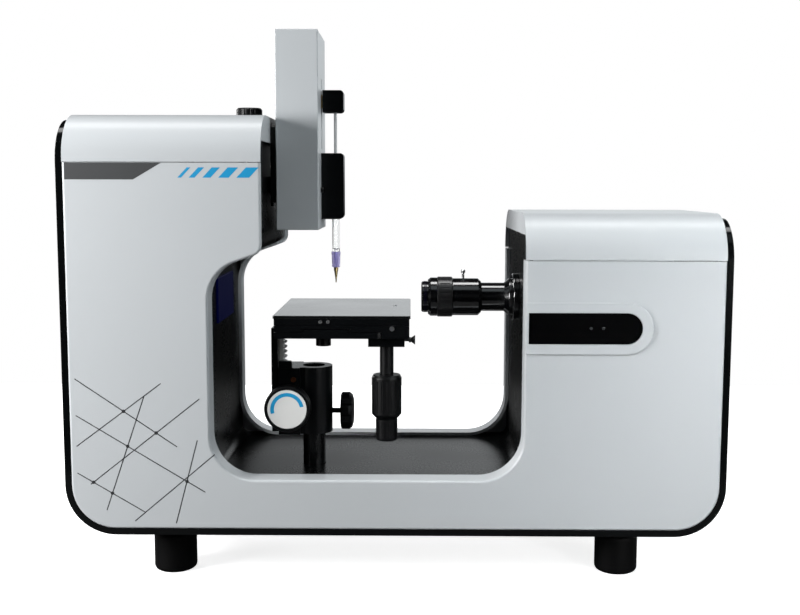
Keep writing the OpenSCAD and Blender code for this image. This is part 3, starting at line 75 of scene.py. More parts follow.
def selectPart(piece, kind, test):
    # leaves the piece in edit mode, with what passes the test selected
    pick(piece)
    bpy.ops.object.mode_set(mode="EDIT")
    bpy.ops.mesh.select_mode(type=kind)
    bpy.ops.mesh.select_all(action="DESELECT")
    shape = bmesh.from_edit_mesh(piece.data)
    found = {"VERT": shape.verts, "EDGE": shape.edges, "FACE": shape.faces}[kind]
    chosen = [item for item in found if test(item)]
    for item in chosen:
        item.select_set(True)
    shape.select_flush_mode()
    bmesh.update_edit_mesh(piece.data)
    return len(chosen)


def leaveEdit():
    bpy.ops.object.mode_set(mode="OBJECT")


def leaveOutward():
    # turns all faces outward and leaves edit mode
    bpy.ops.mesh.select_all(action="SELECT")
    bpy.ops.mesh.normals_make_consistent(inside=False)
    leaveEdit()


def middle(item):
    return sum((corner.co for corner in item.verts), Vector()) / len(item.verts)


def roundEdges(piece, width, steps, test=None):
    # sharp outward edges, or those of them whose middle passes the test
    def wanted(edge):
        if len(edge.link_faces) != 2 or not edge.is_convex:
            return False
        if edge.calc_face_angle(0) < math.radians(meshSpec["sharp"]):
            return False
        return test is None or test(middle(edge))

    if selectPart(piece, "EDGE", wanted):
        bpy.ops.mesh.bevel(offset=width, offset_type="OFFSET", segments=steps, profile=0.5,
                           affect="EDGES", clamp_overlap=True)
    leaveEdit()


def evenShading(piece):
    pick(piece)
    bpy.ops.object.shade_smooth_by_angle(angle=math.radians(meshSpec["smooth"]))
    weighted = piece.modifiers.new("evenNormals", "WEIGHTED_NORMAL")
    weighted.keep_sharp = True
    bpy.ops.object.modifier_apply(modifier=weighted.name)


def thicken(piece, thickness, offset):
    # outward of the faces at offset 1, inward at -1
    wall = piece.modifiers.new("wall", "SOLIDIFY")
    wall.thickness = thickness
    wall.offset = offset
    pick(piece)
    bpy.ops.object.modifier_apply(modifier=wall.name)


def copyNode(node, name):
    # a copy of the CAD mesh, merged, with its flat triangles joined to whole faces
    piece = bpy.data.objects.new(name, nodes[node].data.copy())
    scene.collection.objects.link(piece)
    piece.data.name = name
    piece.data.materials.clear()
    pick(piece)
    bpy.ops.object.mode_set(mode="EDIT")
    bpy.ops.mesh.select_all(action="SELECT")
    bpy.ops.mesh.remove_doubles(threshold=meshSpec["merge"])
    bpy.ops.mesh.customdata_custom_splitnormals_clear()
    bpy.ops.mesh.dissolve_limited(angle_limit=math.radians(meshSpec["flat"]))
    leaveEdit()
    return piece


def settle(piece):
    # puts the place and turn of an object into its mesh
    pick(piece)
    bpy.ops.object.transform_apply(location=True, rotation=True, scale=True)


def addCopy(master, name, place, facing):
    # a copy with its own mesh, its +Z turned to the facing direction
    piece = bpy.data.objects.new(name, master.data.copy())
    scene.collection.objects.link(piece)
    piece.data.name = name
    turn = Vector(facing).to_track_quat("Z", "Y").to_matrix().to_4x4()
    piece.matrix_world = Matrix.Translation(Vector(place)) @ turn
    settle(piece)
    return piece


def dropMaster(master):
    bpy.data.objects.remove(master, do_unlink=True)


def addDisc(name, sides, radius, place):
    # filled disc that faces the front
    bpy.ops.mesh.primitive_circle_add(vertices=sides, radius=radius, fill_type="NGON", location=place,
                                      rotation=(quarterTurn, 0, 0))
    disc = bpy.context.object
    disc.name = name
    settle(disc)
    return disc


# materials

def addNode(tree, kind, x, y, **values):
    node = tree.nodes.new(kind)
    node.location = (x, y)
    for key, value in values.items():
        setattr(node, key, value)
    return node


def newGroup(name, inputs, outputs):
    group = bpy.data.node_groups.new(name, "ShaderNodeTree")
    for label, kind, value in inputs:
        socket = group.interface.new_socket(name=label, in_out="INPUT", socket_type=kind)
        socket.default_value = value
    for label, kind in outputs:
        group.interface.new_socket(name=label, in_out="OUTPUT", socket_type=kind)
    return group, addNode(group, "NodeGroupInput", -900, 0), addNode(group, "NodeGroupOutput", 700, 0)


surfaceInputs = [
    ("Shade", "NodeSocketColor", (0.5, 0.5, 0.5, 1)),
    ("Spread", "NodeSocketFloat", 0.1),        # how far the colour wanders
    ("Rough", "NodeSocketFloat", 0.4),
    ("RoughSpread", "NodeSocketFloat", 0.1),
]
surfaceOutputs = [
    ("Color", "NodeSocketColor"),
    ("Roughness", "NodeSocketFloat"),
    ("Height", "NodeSocketFloat"),
]


def finishGroup(group, source, target, fine, cloud):
    # colour, roughness and height out of a fine and a cloudy pattern
    noiseMean = 0.5
    fineShare = 0.6
    links = group.links
    fineOff = addNode(group, "ShaderNodeMath", 0, 150, operation="SUBTRACT")
    links.new(fine, fineOff.inputs[0])
    fineOff.inputs[1].default_value = noiseMean
    cloudOff = addNode(group, "ShaderNodeMath", 0, -50, operation="SUBTRACT")
    links.new(cloud, cloudOff.inputs[0])
    cloudOff.inputs[1].default_value = noiseMean
    both = addNode(group, "ShaderNodeMath", 160, 100, operation="MULTIPLY_ADD")
    links.new(fineOff.outputs[0], both.inputs[0])
    both.inputs[1].default_value = fineShare
    links.new(cloudOff.outputs[0], both.inputs[2])
    factor = addNode(group, "ShaderNodeMath", 320, 100, operation="MULTIPLY_ADD")
    links.new(both.outputs[0], factor.inputs[0])
    links.new(source.outputs["Spread"], factor.inputs[1])
    factor.inputs[2].default_value = 1.0
    shade = addNode(group, "ShaderNodeVectorMath", 480, 150, operation="SCALE")
    links.new(source.outputs["Shade"], shade.inputs[0])
    links.new(factor.outputs[0], shade.inputs["Scale"])
    rough = addNode(group, "ShaderNodeMath", 480, -50, operation="MULTIPLY_ADD", use_clamp=True)
    links.new(both.outputs[0], rough.inputs[0])
    links.new(source.outputs["RoughSpread"], rough.inputs[1])
    links.new(source.outputs["Rough"], rough.inputs[2])
    links.new(shade.outputs[0], target.inputs["Color"])
    links.new(rough.outputs[0], target.inputs["Roughness"])
    links.new(fine, target.inputs["Height"])


def grainGroup():
    # grain over soft clouds, the grain drawn out along an axis by Stretch
    group, source, target = newGroup("surfaceGrain", surfaceInputs + [
        ("Grain", "NodeSocketFloat", 900.0),
        ("Cloud", "NodeSocketFloat", 9.0),
        ("Stretch", "NodeSocketVector", (1, 1, 1)),
    ], surfaceOutputs)
    links = group.links
    coords = addNode(group, "ShaderNodeTexCoord", -720, 200)
    drawn = addNode(group, "ShaderNodeVectorMath", -540, 250, operation="MULTIPLY")
    links.new(coords.outputs["Object"], drawn.inputs[0])
    links.new(source.outputs["Stretch"], drawn.inputs[1])
    fine = addNode(group, "ShaderNodeTexNoise", -360, 250)
    fine.inputs["Detail"].default_value = 3
    links.new(drawn.outputs[0], fine.inputs["Vector"])
    links.new(source.outputs["Grain"], fine.inputs["Scale"])
    cloud = addNode(group, "ShaderNodeTexNoise", -360, -50)
    cloud.inputs["Detail"].default_value = 4
    links.new(coords.outputs["Object"], cloud.inputs["Vector"])
    links.new(source.outputs["Cloud"], cloud.inputs["Scale"])
    finishGroup(group, source, target, fine.outputs["Fac"], cloud.outputs["Fac"])
    return group


def ringGroup():
    # rings as a lathe leaves them, round an axis through Centre
    group, source, target = newGroup("turnedRings", surfaceInputs + [
        ("Centre", "NodeSocketVector", (0, 0, 0)),
        ("Plane", "NodeSocketVector", (1, 0, 1)),   # 0 along the axis
        ("Rings", "NodeSocketFloat", 2200.0),
    ], surfaceOutputs)
    links = group.links
    coords = addNode(group, "ShaderNodeTexCoord", -900, 300)
    away = addNode(group, "ShaderNodeVectorMath", -740, 300, operation="SUBTRACT")
    links.new(coords.outputs["Object"], away.inputs[0])
    links.new(source.outputs["Centre"], away.inputs[1])
    flat = addNode(group, "ShaderNodeVectorMath", -580, 300, operation="MULTIPLY")
    links.new(away.outputs[0], flat.inputs[0])
    links.new(source.outputs["Plane"], flat.inputs[1])
    radius = addNode(group, "ShaderNodeVectorMath", -420, 300, operation="LENGTH")
    links.new(flat.outputs[0], radius.inputs[0])
    fine = addNode(group, "ShaderNodeTexNoise", -240, 250, noise_dimensions="1D")
    fine.inputs["Detail"].default_value = 2
    links.new(radius.outputs["Value"], fine.inputs["W"])
    links.new(source.outputs["Rings"], fine.inputs["Scale"])
    cloud = addNode(group, "ShaderNodeTexNoise", -240, -50)
    cloud.inputs["Scale"].default_value = 40
    links.new(coords.outputs["Object"], cloud.inputs["Vector"])
    finishGroup(group, source, target, fine.outputs["Fac"], cloud.outputs["Fac"])
    return group


grain = grainGroup()
rings = ringGroup()


def newFinish(name, shade, rough, group=grain, spread=0.1, roughSpread=0.1, bump=0.05, depth=0.0001,
              plainColour=False, **sockets):
    # a Principled material fed by one of the shared groups; other values go to the sockets of their name
    made = bpy.data.materials.new(name)
    made.use_nodes = True
    tree = made.node_tree
    shader = tree.nodes["Principled BSDF"]
    surface = addNode(tree, "ShaderNodeGroup", -500, 100, node_tree=group)
    surface.inputs["Shade"].default_value = (*shade, 1)
    surface.inputs["Spread"].default_value = spread
    surface.inputs["Rough"].default_value = rough
    surface.inputs["RoughSpread"].default_value = roughSpread
    relief = addNode(tree, "ShaderNodeBump", -250, -150)
    relief.inputs["Strength"].default_value = bump
    relief.inputs["Distance"].default_value = depth
    if plainColour:
        shader.inputs["Base Color"].default_value = (*shade, 1)
    else:
        tree.links.new(surface.outputs["Color"], shader.inputs["Base Color"])
    tree.links.new(surface.outputs["Roughness"], shader.inputs["Roughness"])
    tree.links.new(surface.outputs["Height"], relief.inputs["Height"])
    tree.links.new(relief.outputs["Normal"], shader.inputs["Normal"])
    for label, value in sockets.items():
        label = label.replace("_", " ")
        owner = surface if label in surface.inputs else shader
        owner.inputs[label].default_value = value
    return made


knobLow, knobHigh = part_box("focus_knob")
knobMiddle = (knobLow + knobHigh) / 2
lensLow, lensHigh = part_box("lens_barrel")
lensMiddle = (lensLow + lensHigh) / 2

finishSpec = {
    "silverPaint": dict(shade=(0.538, 0.56, 0.576), rough=0.36, spread=0.05, bump=0.06, Grain=2400, Cloud=7,
                        Coat_Weight=0.12, Coat_Roughness=0.2),
    "glossBlack": dict(shade=(0.0022, 0.0026, 0.0028), rough=0.12, spread=0.3, roughSpread=0.08, bump=0.02,
                       Grain=500, Cloud=14, Specular_IOR_Level=0.3),
    "linerBlack": dict(shade=(0.0022, 0.0026, 0.0028), rough=0.28, spread=0.3, roughSpread=0.08, bump=0.03,
                       Grain=700, Cloud=14, Specular_IOR_Level=0.16),
    "panelBlack": dict(shade=(0.0018, 0.0018, 0.002), rough=0.14, spread=0.4, roughSpread=0.08, bump=0.02,
                       Grain=900, Cloud=20, Specular_IOR_Level=0.35),
    "footRubber": dict(shade=(0.0016, 0.0016, 0.0018), rough=0.55, spread=0.5, roughSpread=0.2, bump=0.25,
                       depth=0.0002, Grain=1500, Cloud=25, Specular_IOR_Level=0.12),
    "brushedSteel": dict(shade=(0.56, 0.57, 0.58), rough=0.34, spread=0.12, roughSpread=0.2, bump=0.06,
                         Grain=700, Stretch=(0.05, 1, 1), Metallic=1.0),
    "groundSteel": dict(shade=(0.62, 0.63, 0.64), rough=0.2, spread=0.08, roughSpread=0.15, bump=0.04,
                        Grain=1400, Stretch=(1, 1, 0.04), Metallic=1.0),
    "paleSteel": dict(shade=(0.72, 0.73, 0.74), rough=0.45, roughSpread=0.2, bump=0.06, Grain=1400,
                      Stretch=(1, 1, 0.04), Metallic=0.3),
    "darkSteel": dict(shade=(0.075, 0.08, 0.08), rough=0.35, spread=0.2, roughSpread=0.15, bump=0.06,
                      Grain=1400, Cloud=40, Metallic=0.8),
    "blackPlastic": dict(shade=(0.002, 0.0022, 0.0026), rough=0.4, spread=0.4, roughSpread=0.16, bump=0.12,
                         depth=0.0002, Grain=1900, Cloud=30, Specular_IOR_Level=0.2),
    "blackAnodised": dict(shade=(0.002, 0.0024, 0.0029), rough=0.3, spread=0.35, roughSpread=0.12, bump=0.08,
                          Grain=2600, Cloud=22, Specular_IOR_Level=0.24),
    "stageBlack": dict(shade=(0.004, 0.0045, 0.0048), rough=0.18, spread=0.3, roughSpread=0.08, bump=0.04,
                       Grain=2600, Cloud=16, Specular_IOR_Level=1.0),
    "blackSteel": dict(shade=(0.0028, 0.003, 0.0034), rough=0.27, spread=0.35, roughSpread=0.12, bump=0.06,
                       Grain=1200, Stretch=(1, 1, 0.08), Specular_IOR_Level=0.3),
    "lensBlack": dict(group=rings, shade=(0.0014, 0.0015, 0.002), rough=0.16, spread=0.3, roughSpread=0.08,
                      Centre=lensMiddle, Plane=(1, 0, 0), Rings=1500, Specular_IOR_Level=1.0, Coat_Weight=0.6,
                      Coat_Roughness=0.1),
    # dark violet painted in for the violet reflection of the light on the lens front: painted reflection
    "paintedVioletReflection": dict(group=rings, shade=(0.0026, 0.002, 0.0075), rough=0.22, spread=0.3, roughSpread=0.08,
                       Centre=lensMiddle, Plane=(1, 0, 0), Rings=1500, Specular_IOR_Level=0.5),
    "gripGrey": dict(shade=(0.005, 0.005, 0.0056), rough=0.34, spread=0.3, roughSpread=0.15, bump=0.15,
                     depth=0.0002, Grain=2000, Cloud=35, Specular_IOR_Level=0.75),
    "circuitBoard": dict(shade=(0.02, 0.11, 0.045), rough=0.45, spread=0.3, roughSpread=0.15, bump=0.1,
                         depth=0.0002, Grain=600, Cloud=40),
    "lightPanel": dict(shade=(0.001, 0.0015, 0.008), rough=0.4, spread=0.2, Grain=1500, Cloud=30,
                       Specular_IOR_Level=0.03, Emission_Color=(0.02, 0.04, 0.9, 1), Emission_Strength=0.017),
    "lensCoating": dict(shade=(0.03, 0.018, 0.085), rough=0.05, spread=0.5, roughSpread=0.04, bump=0.02,
                        Grain=300, Cloud=60, Coat_Weight=1.0, Coat_Tint=(0.62, 0.5, 1.0, 1)),
    "violetPlastic": dict(shade=(0.62, 0.57, 0.92), rough=0.3, spread=0.15, Grain=900, Cloud=90,
                          Transmission_Weight=0.55, IOR=1.35),
    "needleGold": dict(shade=(0.72, 0.54, 0.25), rough=0.3, spread=0.12, bump=0.04, Grain=2500,
                       Stretch=(1, 1, 0.06), Metallic=0.55),
    "rodPlastic": dict(shade=(0.76, 0.77, 0.775), rough=0.32, spread=0.06, bump=0.04, Grain=1500,
                       Stretch=(1, 1, 0.05), Transmission_Weight=0.3, IOR=1.45),
    "brass": dict(shade=(0.24, 0.1, 0.045), rough=0.32, spread=0.2, roughSpread=0.12, bump=0.06, Grain=1800,
                  Cloud=60, Metallic=1.0),
    "dialFace": dict(group=rings, shade=(0.85, 0.845, 0.825), rough=0.38, spread=0.09, roughSpread=0.15,
                     bump=0.1, Centre=knobMiddle, Plane=(1, 0, 1), Rings=2600, Metallic=0.15),
    "inkGrey": dict(shade=(0.05, 0.052, 0.054), rough=0.42, spread=0.12, Grain=1800, Cloud=30),
    "inkBlue": dict(shade=(0.012, 0.3, 0.58), rough=0.4, Grain=1800, Cloud=30),
    "inkLine": dict(shade=(0.03, 0.031, 0.033), rough=0.42, spread=0.2, Grain=1800, Cloud=30),
    "dimLamp": dict(shade=(0.03, 0.031, 0.033), rough=0.2, spread=0.2, roughSpread=0.08, Grain=1500,
                    Cloud=60),
    # drawn glass, with faint streaks along its length in roughness and relief only
    "clearGlass": dict(shade=(0.97, 0.98, 0.98), rough=0.03, roughSpread=0.03, bump=0.02, plainColour=True,
                       Grain=1200, Stretch=(1, 1, 0.03), Transmission_Weight=1.0, IOR=1.47),
}
finishes = {name: newFinish(name, **values) for name, values in finishSpec.items()}

slotFinish = {
    "silver_paint": "silverPaint", "gloss_black": "glossBlack", "foot_rubber": "footRubber",
    "bare_steel": "brushedSteel", "ground_steel": "groundSteel", "black_plastic": "blackPlastic",
    "black_anodised": "blackAnodised", "black_steel": "blackSteel", "grip_grey": "gripGrey",
    "board": "circuitBoard", "light_panel": "lightPanel", "lens_coating": "lensCoating",
    "syringe_glass": "clearGlass", "hub_violet": "violetPlastic", "needle_gold": "needleGold",
}
for node, piece in nodes.items():
    piece.data.materials.clear()
    piece.data.materials.append(finishes[slotFinish[slotOf[node]]])
print("materials made,", len(finishes))


def hand(piece, finish, body, node=None):
    # material, the body it rides on and the CAD node it stands for
    piece.data.materials.clear()
    piece.data.materials.append(finishes[finish])
    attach(piece, body)
    if node:
        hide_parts(node)


def dressNode(node, name, edge, steps, finish=None, zones=()):
    # zones: (test on the edge's middle, width, steps), rounded before all other edges
    piece = copyNode(node, name)
    for test, width, count in zones:
        roundEdges(piece, width, count, test)
    roundEdges(piece, edge, steps)
    evenShading(piece)
    hand(piece, finish or slotFinish[slotOf[node]], bodyOf[node], node)


def dressAll(spec):
    # node: piece, edge radius, bevel steps, and the finish where it isn't the slot's own
    for node, values in spec.items():
        dressNode(node, *values)


# covers

coverSpec = {
    "bayEdge": (0.0036, 6),     # radius and bevel steps of the sheet's edge round the bay
    "outerEdge": (0.0022, 5),
    "seamEdge": (0.0004, 2),
    "endEdge": (0.002, 4),      # ends of the top covers
    "hemEdge": (0.0002, 2),
    "hemDeep": 0.006,           # folded hem along the bay's turned-back edge
    "hemThick": 0.0009,
    "hemLean": 0.1,             # slack on the way a face looks
    "seamReach": 0.002,         # edges this close to a seam or to the slot get the seam's radius
    "slotReach": 0.004,
    "outerBand": 0.045,         # edges this close to the outside get the outer radius
}
near = 0.0006                   # slack when a point is set against a face
coverLow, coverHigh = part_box("front_cover")
rearLow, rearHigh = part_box("rear_cover")
linerLow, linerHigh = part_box("inner_liner")
slotLow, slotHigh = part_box("window_panel")
leftLow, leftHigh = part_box("left_top_cover")
rightLow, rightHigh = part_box("right_top_cover")
frontY, rearY = coverLow.y, rearHigh.y


def atSeam(point):
    reach = coverSpec["seamReach"]
    leftSeam = abs(point.z - leftLow.z) < reach and point.x < 0
    rightSeam = abs(point.z - rightLow.z) < reach and point.x > 0
    return leftSeam or rightSeam


def inSlot(point):
    reach = coverSpec["slotReach"]
    beside = slotLow.x - reach < point.x < slotHigh.x + reach
    return beside and slotLow.z - reach < point.z < slotHigh.z + reach


def onFace(point, faceY):
    return abs(point.y - faceY) < near and not atSeam(point) and not inSlot(point)


def isOuter(point):
    band = coverSpec["outerBand"]
    return abs(point.x) > coverHigh.x - band or point.z < coverLow.z + band


def dressCover(node, name, faceY):
    dressNode(node, name, *coverSpec["seamEdge"], zones=[
        (lambda p: onFace(p, faceY) and not isOuter(p), *coverSpec["bayEdge"]),
        (lambda p: onFace(p, faceY) and isOuter(p), *coverSpec["outerEdge"]),
    ])


def makeHem(node, name, edgeY, inward):
    # the side of the turned-back edge that faces the liner, cut to a strip and thickened
    hem = copyNode(node, name)
    heart = Vector(((linerLow.x + linerHigh.x) / 2, 0, rightLow.z))

    def besideBay(face):
        spot = face.calc_center_median()
        away = (spot - heart) * Vector((1, 0, 1))
        within = linerLow.x < spot.x < linerHigh.x and linerLow.z < spot.z < rightLow.z - near
        square = abs(face.normal.y) < coverSpec["hemLean"]
        return within and square and face.normal.dot(away.normalized()) > coverSpec["hemLean"]

    selectPart(hem, "FACE", lambda face: not besideBay(face))
    bpy.ops.mesh.delete(type="FACE")
    bpy.ops.mesh.select_all(action="SELECT")
    cutY = edgeY - inward * coverSpec["hemDeep"]
    bpy.ops.mesh.bisect(plane_co=(0, cutY, 0), plane_no=(0, -inward, 0), clear_outer=True)
    leaveEdit()
    thicken(hem, coverSpec["hemThick"], 1.0)
    roundEdges(hem, *coverSpec["hemEdge"])
    evenShading(hem)
    hand(hem, "silverPaint", bodyOf[node])


dressCover("front_cover", "frontCover", frontY)
dressCover("rear_cover", "rearCover", rearY)
makeHem("front_cover", "frontHem", coverHigh.y, 1)
makeHem("rear_cover", "rearHem", rearLow.y, -1)


def dressTop(node, name, low, high):
    def atEnd(point):
        return (point.x < low.x + near or point.x > high.x - near) and not atSeam(point)

    dressNode(node, name, *coverSpec["seamEdge"], zones=[(atEnd, *coverSpec["endEdge"])])


dressTop("left_top_cover", "leftTopCover", leftLow, leftHigh)
dressTop("right_top_cover", "rightTopCover", rightLow, rightHigh)

housingSpec = {
    "rim_band": ("rimBand", 0.0014, 4),
    "inner_liner": ("innerLiner", 0.0005, 2, "linerBlack"),
    "window_bezel": ("windowBezel", 0.0017, 5),
    "window_panel": ("windowPanel", 0.0004, 2, "panelBlack"),
    "light_window": ("lightWindow", 0.0006, 3),
    "rubber_feet": ("rubberFeet", 0.0022, 4),
    "connector_plate": ("connectorPlate", 0.0005, 2),
    "mains_inlet": ("mainsInlet", 0.0006, 2),
    "rocker_switch": ("rockerSwitch", 0.0008, 3),
    "data_port": ("dataPort", 0.0002, 2),
}
dressAll(housingSpec)
print("housing dressed")


# head, syringe and lift

headSpec = {
    "head_shell": ("headShell", 0.0012, 4),
    "head_back": ("headBack", 0.0004, 2),
    "mount_plate": ("mountPlate", 0.0008, 3),
    "lift_knob": ("liftKnob", 0.0007, 3),
    "pusher_block": ("pusherBlock", 0.0004, 2),
    "syringe_holder": ("syringeHolder", 0.0004, 2),
    "plunger": ("plungerRod", 0.0002, 2, "rodPlastic"),
    "syringe_barrel": ("syringeBarrel", 0.00012, 2),
    "needle_hub": ("needleHub", 0.0002, 2),
    "needle": ("dosingNeedle", 0.00004, 1),
}
dressAll(headSpec)
print("head dressed")


# stage

stageSpec = {
    "stage_plate": ("stagePlate", 0.0005, 3, "stageBlack"),
    "x_table": ("crossTable", 0.0005, 2),
    "y_table": ("longTable", 0.0005, 2),
    "stage_base": ("stageBase", 0.0005, 2),
    "drive_block": ("driveBlock", 0.0006, 3),
    "y_knob": ("longKnob", 0.0007, 3),
    "x_knob": ("crossKnob", 0.0007, 3),
    "stage_lock_screw": ("stageLockScrew", 0.0003, 2, "darkSteel"),
    "lift_bar": ("liftBar", 0.0006, 3),
    "focus_rack": ("focusRack", 0.00015, 1, "paleSteel"),
    "clamp_body": ("clampBody", 0.0006, 3),
    "stage_post": ("stagePost", 0.0006, 3),
    "lock_knob": ("lockKnob", 0.0007, 3),
    "focus_knob": ("focusKnob", 0.0007, 3),
}
dressAll(stageSpec)

clampLow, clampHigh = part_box("clamp_body")
guardSpec = {
    "wide": 0.0128, "deep": 0.0052, "high": 0.0066,
    "edge": (0.0005, 3), "corner": (0.0018, 5),     # radius and bevel steps
    "inset": 0.0003,                                # from the block's edges, and into its top
}


def makeGuard(spec):
    # low guard in front of the rack, on top of the clamp's gear block
    inset = spec["inset"]
    foot, top = clampHigh.z - inset, clampHigh.z + spec["high"]
    left, front = clampLow.x + inset, clampLow.y + inset
    right = left + spec["wide"]
    bpy.ops.mesh.primitive_cube_add(size=1, location=(left + spec["wide"] / 2, front + spec["deep"] / 2,
                                                      (foot + top) / 2))
    guard = bpy.context.object
    guard.name = "rackGuard"
    guard.scale = (spec["wide"], spec["deep"], top - foot)
    settle(guard)
    roundEdges(guard, *spec["corner"], lambda p: p.z > top - inset and p.x > right - inset)
    roundEdges(guard, *spec["edge"], lambda p: p.z > foot + inset)
    evenShading(guard)
    hand(guard, "blackAnodised", bodyOf["clamp_body"])


makeGuard(guardSpec)
print("stage dressed")


# lens

lensSpec = {
    "lens_barrel": ("lensBarrel", 0.0004, 3, "lensBlack"),
    "grip_ring": ("gripRing", 0.00025, 2),
    "lens_mount": ("lensMount", 0.0005, 3, "lensBlack"),
    "lens_lock_screw": ("lensLockScrew", 0.0002, 2),
    "lens_glass": ("lensGlass", 0.0002, 2),
}
dressAll(lensSpec)

# a thin ring round the lens front that carries a painted violet reflection, where the light shows violet on
# the barrel
reflectionRingSpec = {
    "start": 0.0022, "wide": 0.0034,        # from the lens's front, along the barrel
    "proud": 0.0002, "sides": 96,
    "edge": (0.00016, 2),                   # radius and bevel steps
}


def makeReflectionRing(spec):
    low = lensLow.x + spec["start"]
    front = [v.co for v in nodes["lens_barrel"].data.vertices if v.co.x < low + spec["wide"]]
    reach = max(math.hypot(co.y - lensMiddle.y, co.z - lensMiddle.z) for co in front)
    bpy.ops.mesh.primitive_circle_add(vertices=spec["sides"], radius=reach + spec["proud"],
                                      fill_type="NOTHING", location=(low, lensMiddle.y, lensMiddle.z),
                                      rotation=(0, quarterTurn, 0))
    ring = bpy.context.object
    ring.name = "paintedReflectionRing"
    settle(ring)
    selectPart(ring, "EDGE", lambda edge: True)
    bpy.ops.mesh.extrude_region_move(TRANSFORM_OT_translate={"value": (spec["wide"], 0, 0)})
    leaveOutward()
    thicken(ring, 2 * spec["proud"], -1.0)
    roundEdges(ring, *spec["edge"])
    evenShading(ring)
    # painted reflection: the ring takes the dark-violet finish
    hand(ring, "paintedVioletReflection", bodyOf["lens_barrel"])


makeReflectionRing(reflectionRingSpec)
print("lens dressed")


# dial on the focus knob

dialSpec = {
    "radius": 0.0182, "thick": 0.0009, "sides": 96,
    "recess": 0.0012,                           # of the knob's face below its rim
    "border": 0.0022,                           # flat border, and inside it a step down
    "stepWide": 0.0003, "stepDeep": 0.00012,
    "edge": (0.00035, 3), "edgeReach": 0.0004,  # radius and bevel steps
    "arcRadius": 0.0138, "arcWidth": 0.0034, "arcThick": 0.00012, "arcProud": 0.00004, "arcSteps": 60,
    "arcFrom": 10, "arcTo": 196,                # degrees from the right, over the top
}


def makeDial(spec):
    def atRim(point):
        away = math.hypot(point.x - knobMiddle.x, point.z - knobMiddle.z)
        return away > spec["radius"] - spec["edgeReach"]

    seat = knobLow.y + spec["recess"]
    dial = addDisc("focusDial", spec["sides"], spec["radius"], (knobMiddle.x, seat, knobMiddle.z))
    selectPart(dial, "FACE", lambda face: True)
    bpy.ops.mesh.extrude_region_move(TRANSFORM_OT_translate={"value": (0, -spec["thick"], 0)})
    bpy.ops.mesh.inset(thickness=spec["border"], depth=0)
    bpy.ops.mesh.inset(thickness=spec["stepWide"], depth=-spec["stepDeep"])
    leaveOutward()
    roundEdges(dial, *spec["edge"], atRim)
    evenShading(dial)
    hand(dial, "dialFace", bodyOf["focus_knob"])


def makeArc(spec):
    # a short radial strip, spun round the dial's middle and turned to its start
    face = knobLow.y + spec["recess"] - spec["thick"] + spec["stepDeep"]
    centre = Vector((knobMiddle.x, face, knobMiddle.z))
    bpy.ops.mesh.primitive_plane_add(size=1, location=(0, 0, 0))
    arc = bpy.context.object
    arc.name = "dialArc"
    arc.scale = (spec["arcWidth"], spec["arcThick"], 1)
    settle(arc)
    arc.location = (knobMiddle.x + spec["arcRadius"], face - spec["arcProud"], knobMiddle.z)
    settle(arc)
    selectPart(arc, "FACE", lambda item: True)
    bpy.ops.mesh.spin(steps=spec["arcSteps"], angle=math.radians(spec["arcTo"] - spec["arcFrom"]),
                      center=centre, axis=(0, 1, 0), dupli=False)
    leaveOutward()
    turn = Matrix.Rotation(-math.radians(spec["arcFrom"]), 4, "Y")
    arc.matrix_world = Matrix.Translation(centre) @ turn @ Matrix.Translation(-centre)
    settle(arc)
    evenShading(arc)
    hand(arc, "inkBlue", bodyOf["focus_knob"])


makeDial(dialSpec)
makeArc(dialSpec)
print("dial made")


# printed marks on the front cover

printSpec = {
    "proud": 0.00008,                       # above the paint
    "blank": 0.01, "aside": 10,             # plane that a strip starts as, and where its corners go meanwhile
    "bandLow": 0.3685, "bandHigh": 0.3832, "bandLeft": -0.2915, "bandTop": -0.206, "bandBottom": -0.231,
    "strokeLow": 0.3702, "strokeHigh": 0.3792, "strokeLean": 0.0085,
    # left end and width of each stroke
    "strokes": [(-0.1875, 0.0032), (-0.1775, 0.0052), (-0.1655, 0.0072), (-0.1515, 0.0092),
                (-0.1355, 0.0112)],
    "lineWidth": 0.0009,
    # both ends of each line of the pattern
    "lines": [
        ((-0.288, 0.1905), (-0.197, 0.1285)), ((-0.288, 0.1285), (-0.2105, 0.1865)),
        ((-0.288, 0.157), (-0.172, 0.0865)), ((-0.276, 0.0935), (-0.176, 0.1725)),
        ((-0.288, 0.104), (-0.2275, 0.068)), ((-0.262, 0.0695), (-0.226, 0.1745)),
        ((-0.2365, 0.0595), (-0.163, 0.1215)), ((-0.199, 0.0575), (-0.1785, 0.1345)),
    ],
    "dotRadius": 0.0016, "dotSides": 20, "dotLift": 0.00002,
    "dotEvery": 2,                          # a dot on every second crossing
    "endShare": 0.02,                       # and none this close to the end of a line
}


def flatStrip(name, corners):
    # a plane whose corners are moved to their places on the panel, then thickened
    aside, half = printSpec["aside"], printSpec["blank"] / 2
    bpy.ops.mesh.primitive_plane_add(size=printSpec["blank"], location=(0, frontY, 0),
                                     rotation=(quarterTurn, 0, 0))
    strip = bpy.context.object
    strip.name = name
    settle(strip)
    signs = [(-1, -1), (1, -1), (1, 1), (-1, 1)]
    for (sideX, sideZ), (x, z) in zip(signs, corners):
        mark = Vector((sideX * half, frontY, sideZ * half))
        selectPart(strip, "VERT", lambda corner: (corner.co - mark).length < meshSpec["merge"])
        bpy.ops.transform.translate(value=(x - mark.x + aside, 0, z - mark.z))
        leaveEdit()
    strip.location = (-aside, 0, 0)
    settle(strip)
    thicken(strip, printSpec["proud"], 1.0)
    return strip


def joinPieces(name, pieces):
    pick(*pieces)
    bpy.ops.object.join()
    joined = bpy.context.object
    joined.name = name
    return joined


def makeBand(spec):
    band = flatStrip("frontBand", [
        (spec["bandLeft"], spec["bandLow"]), (spec["bandBottom"], spec["bandLow"]),
        (spec["bandTop"], spec["bandHigh"]), (spec["bandLeft"], spec["bandHigh"]),
    ])
    hand(band, "inkGrey", bodyOf["front_cover"])


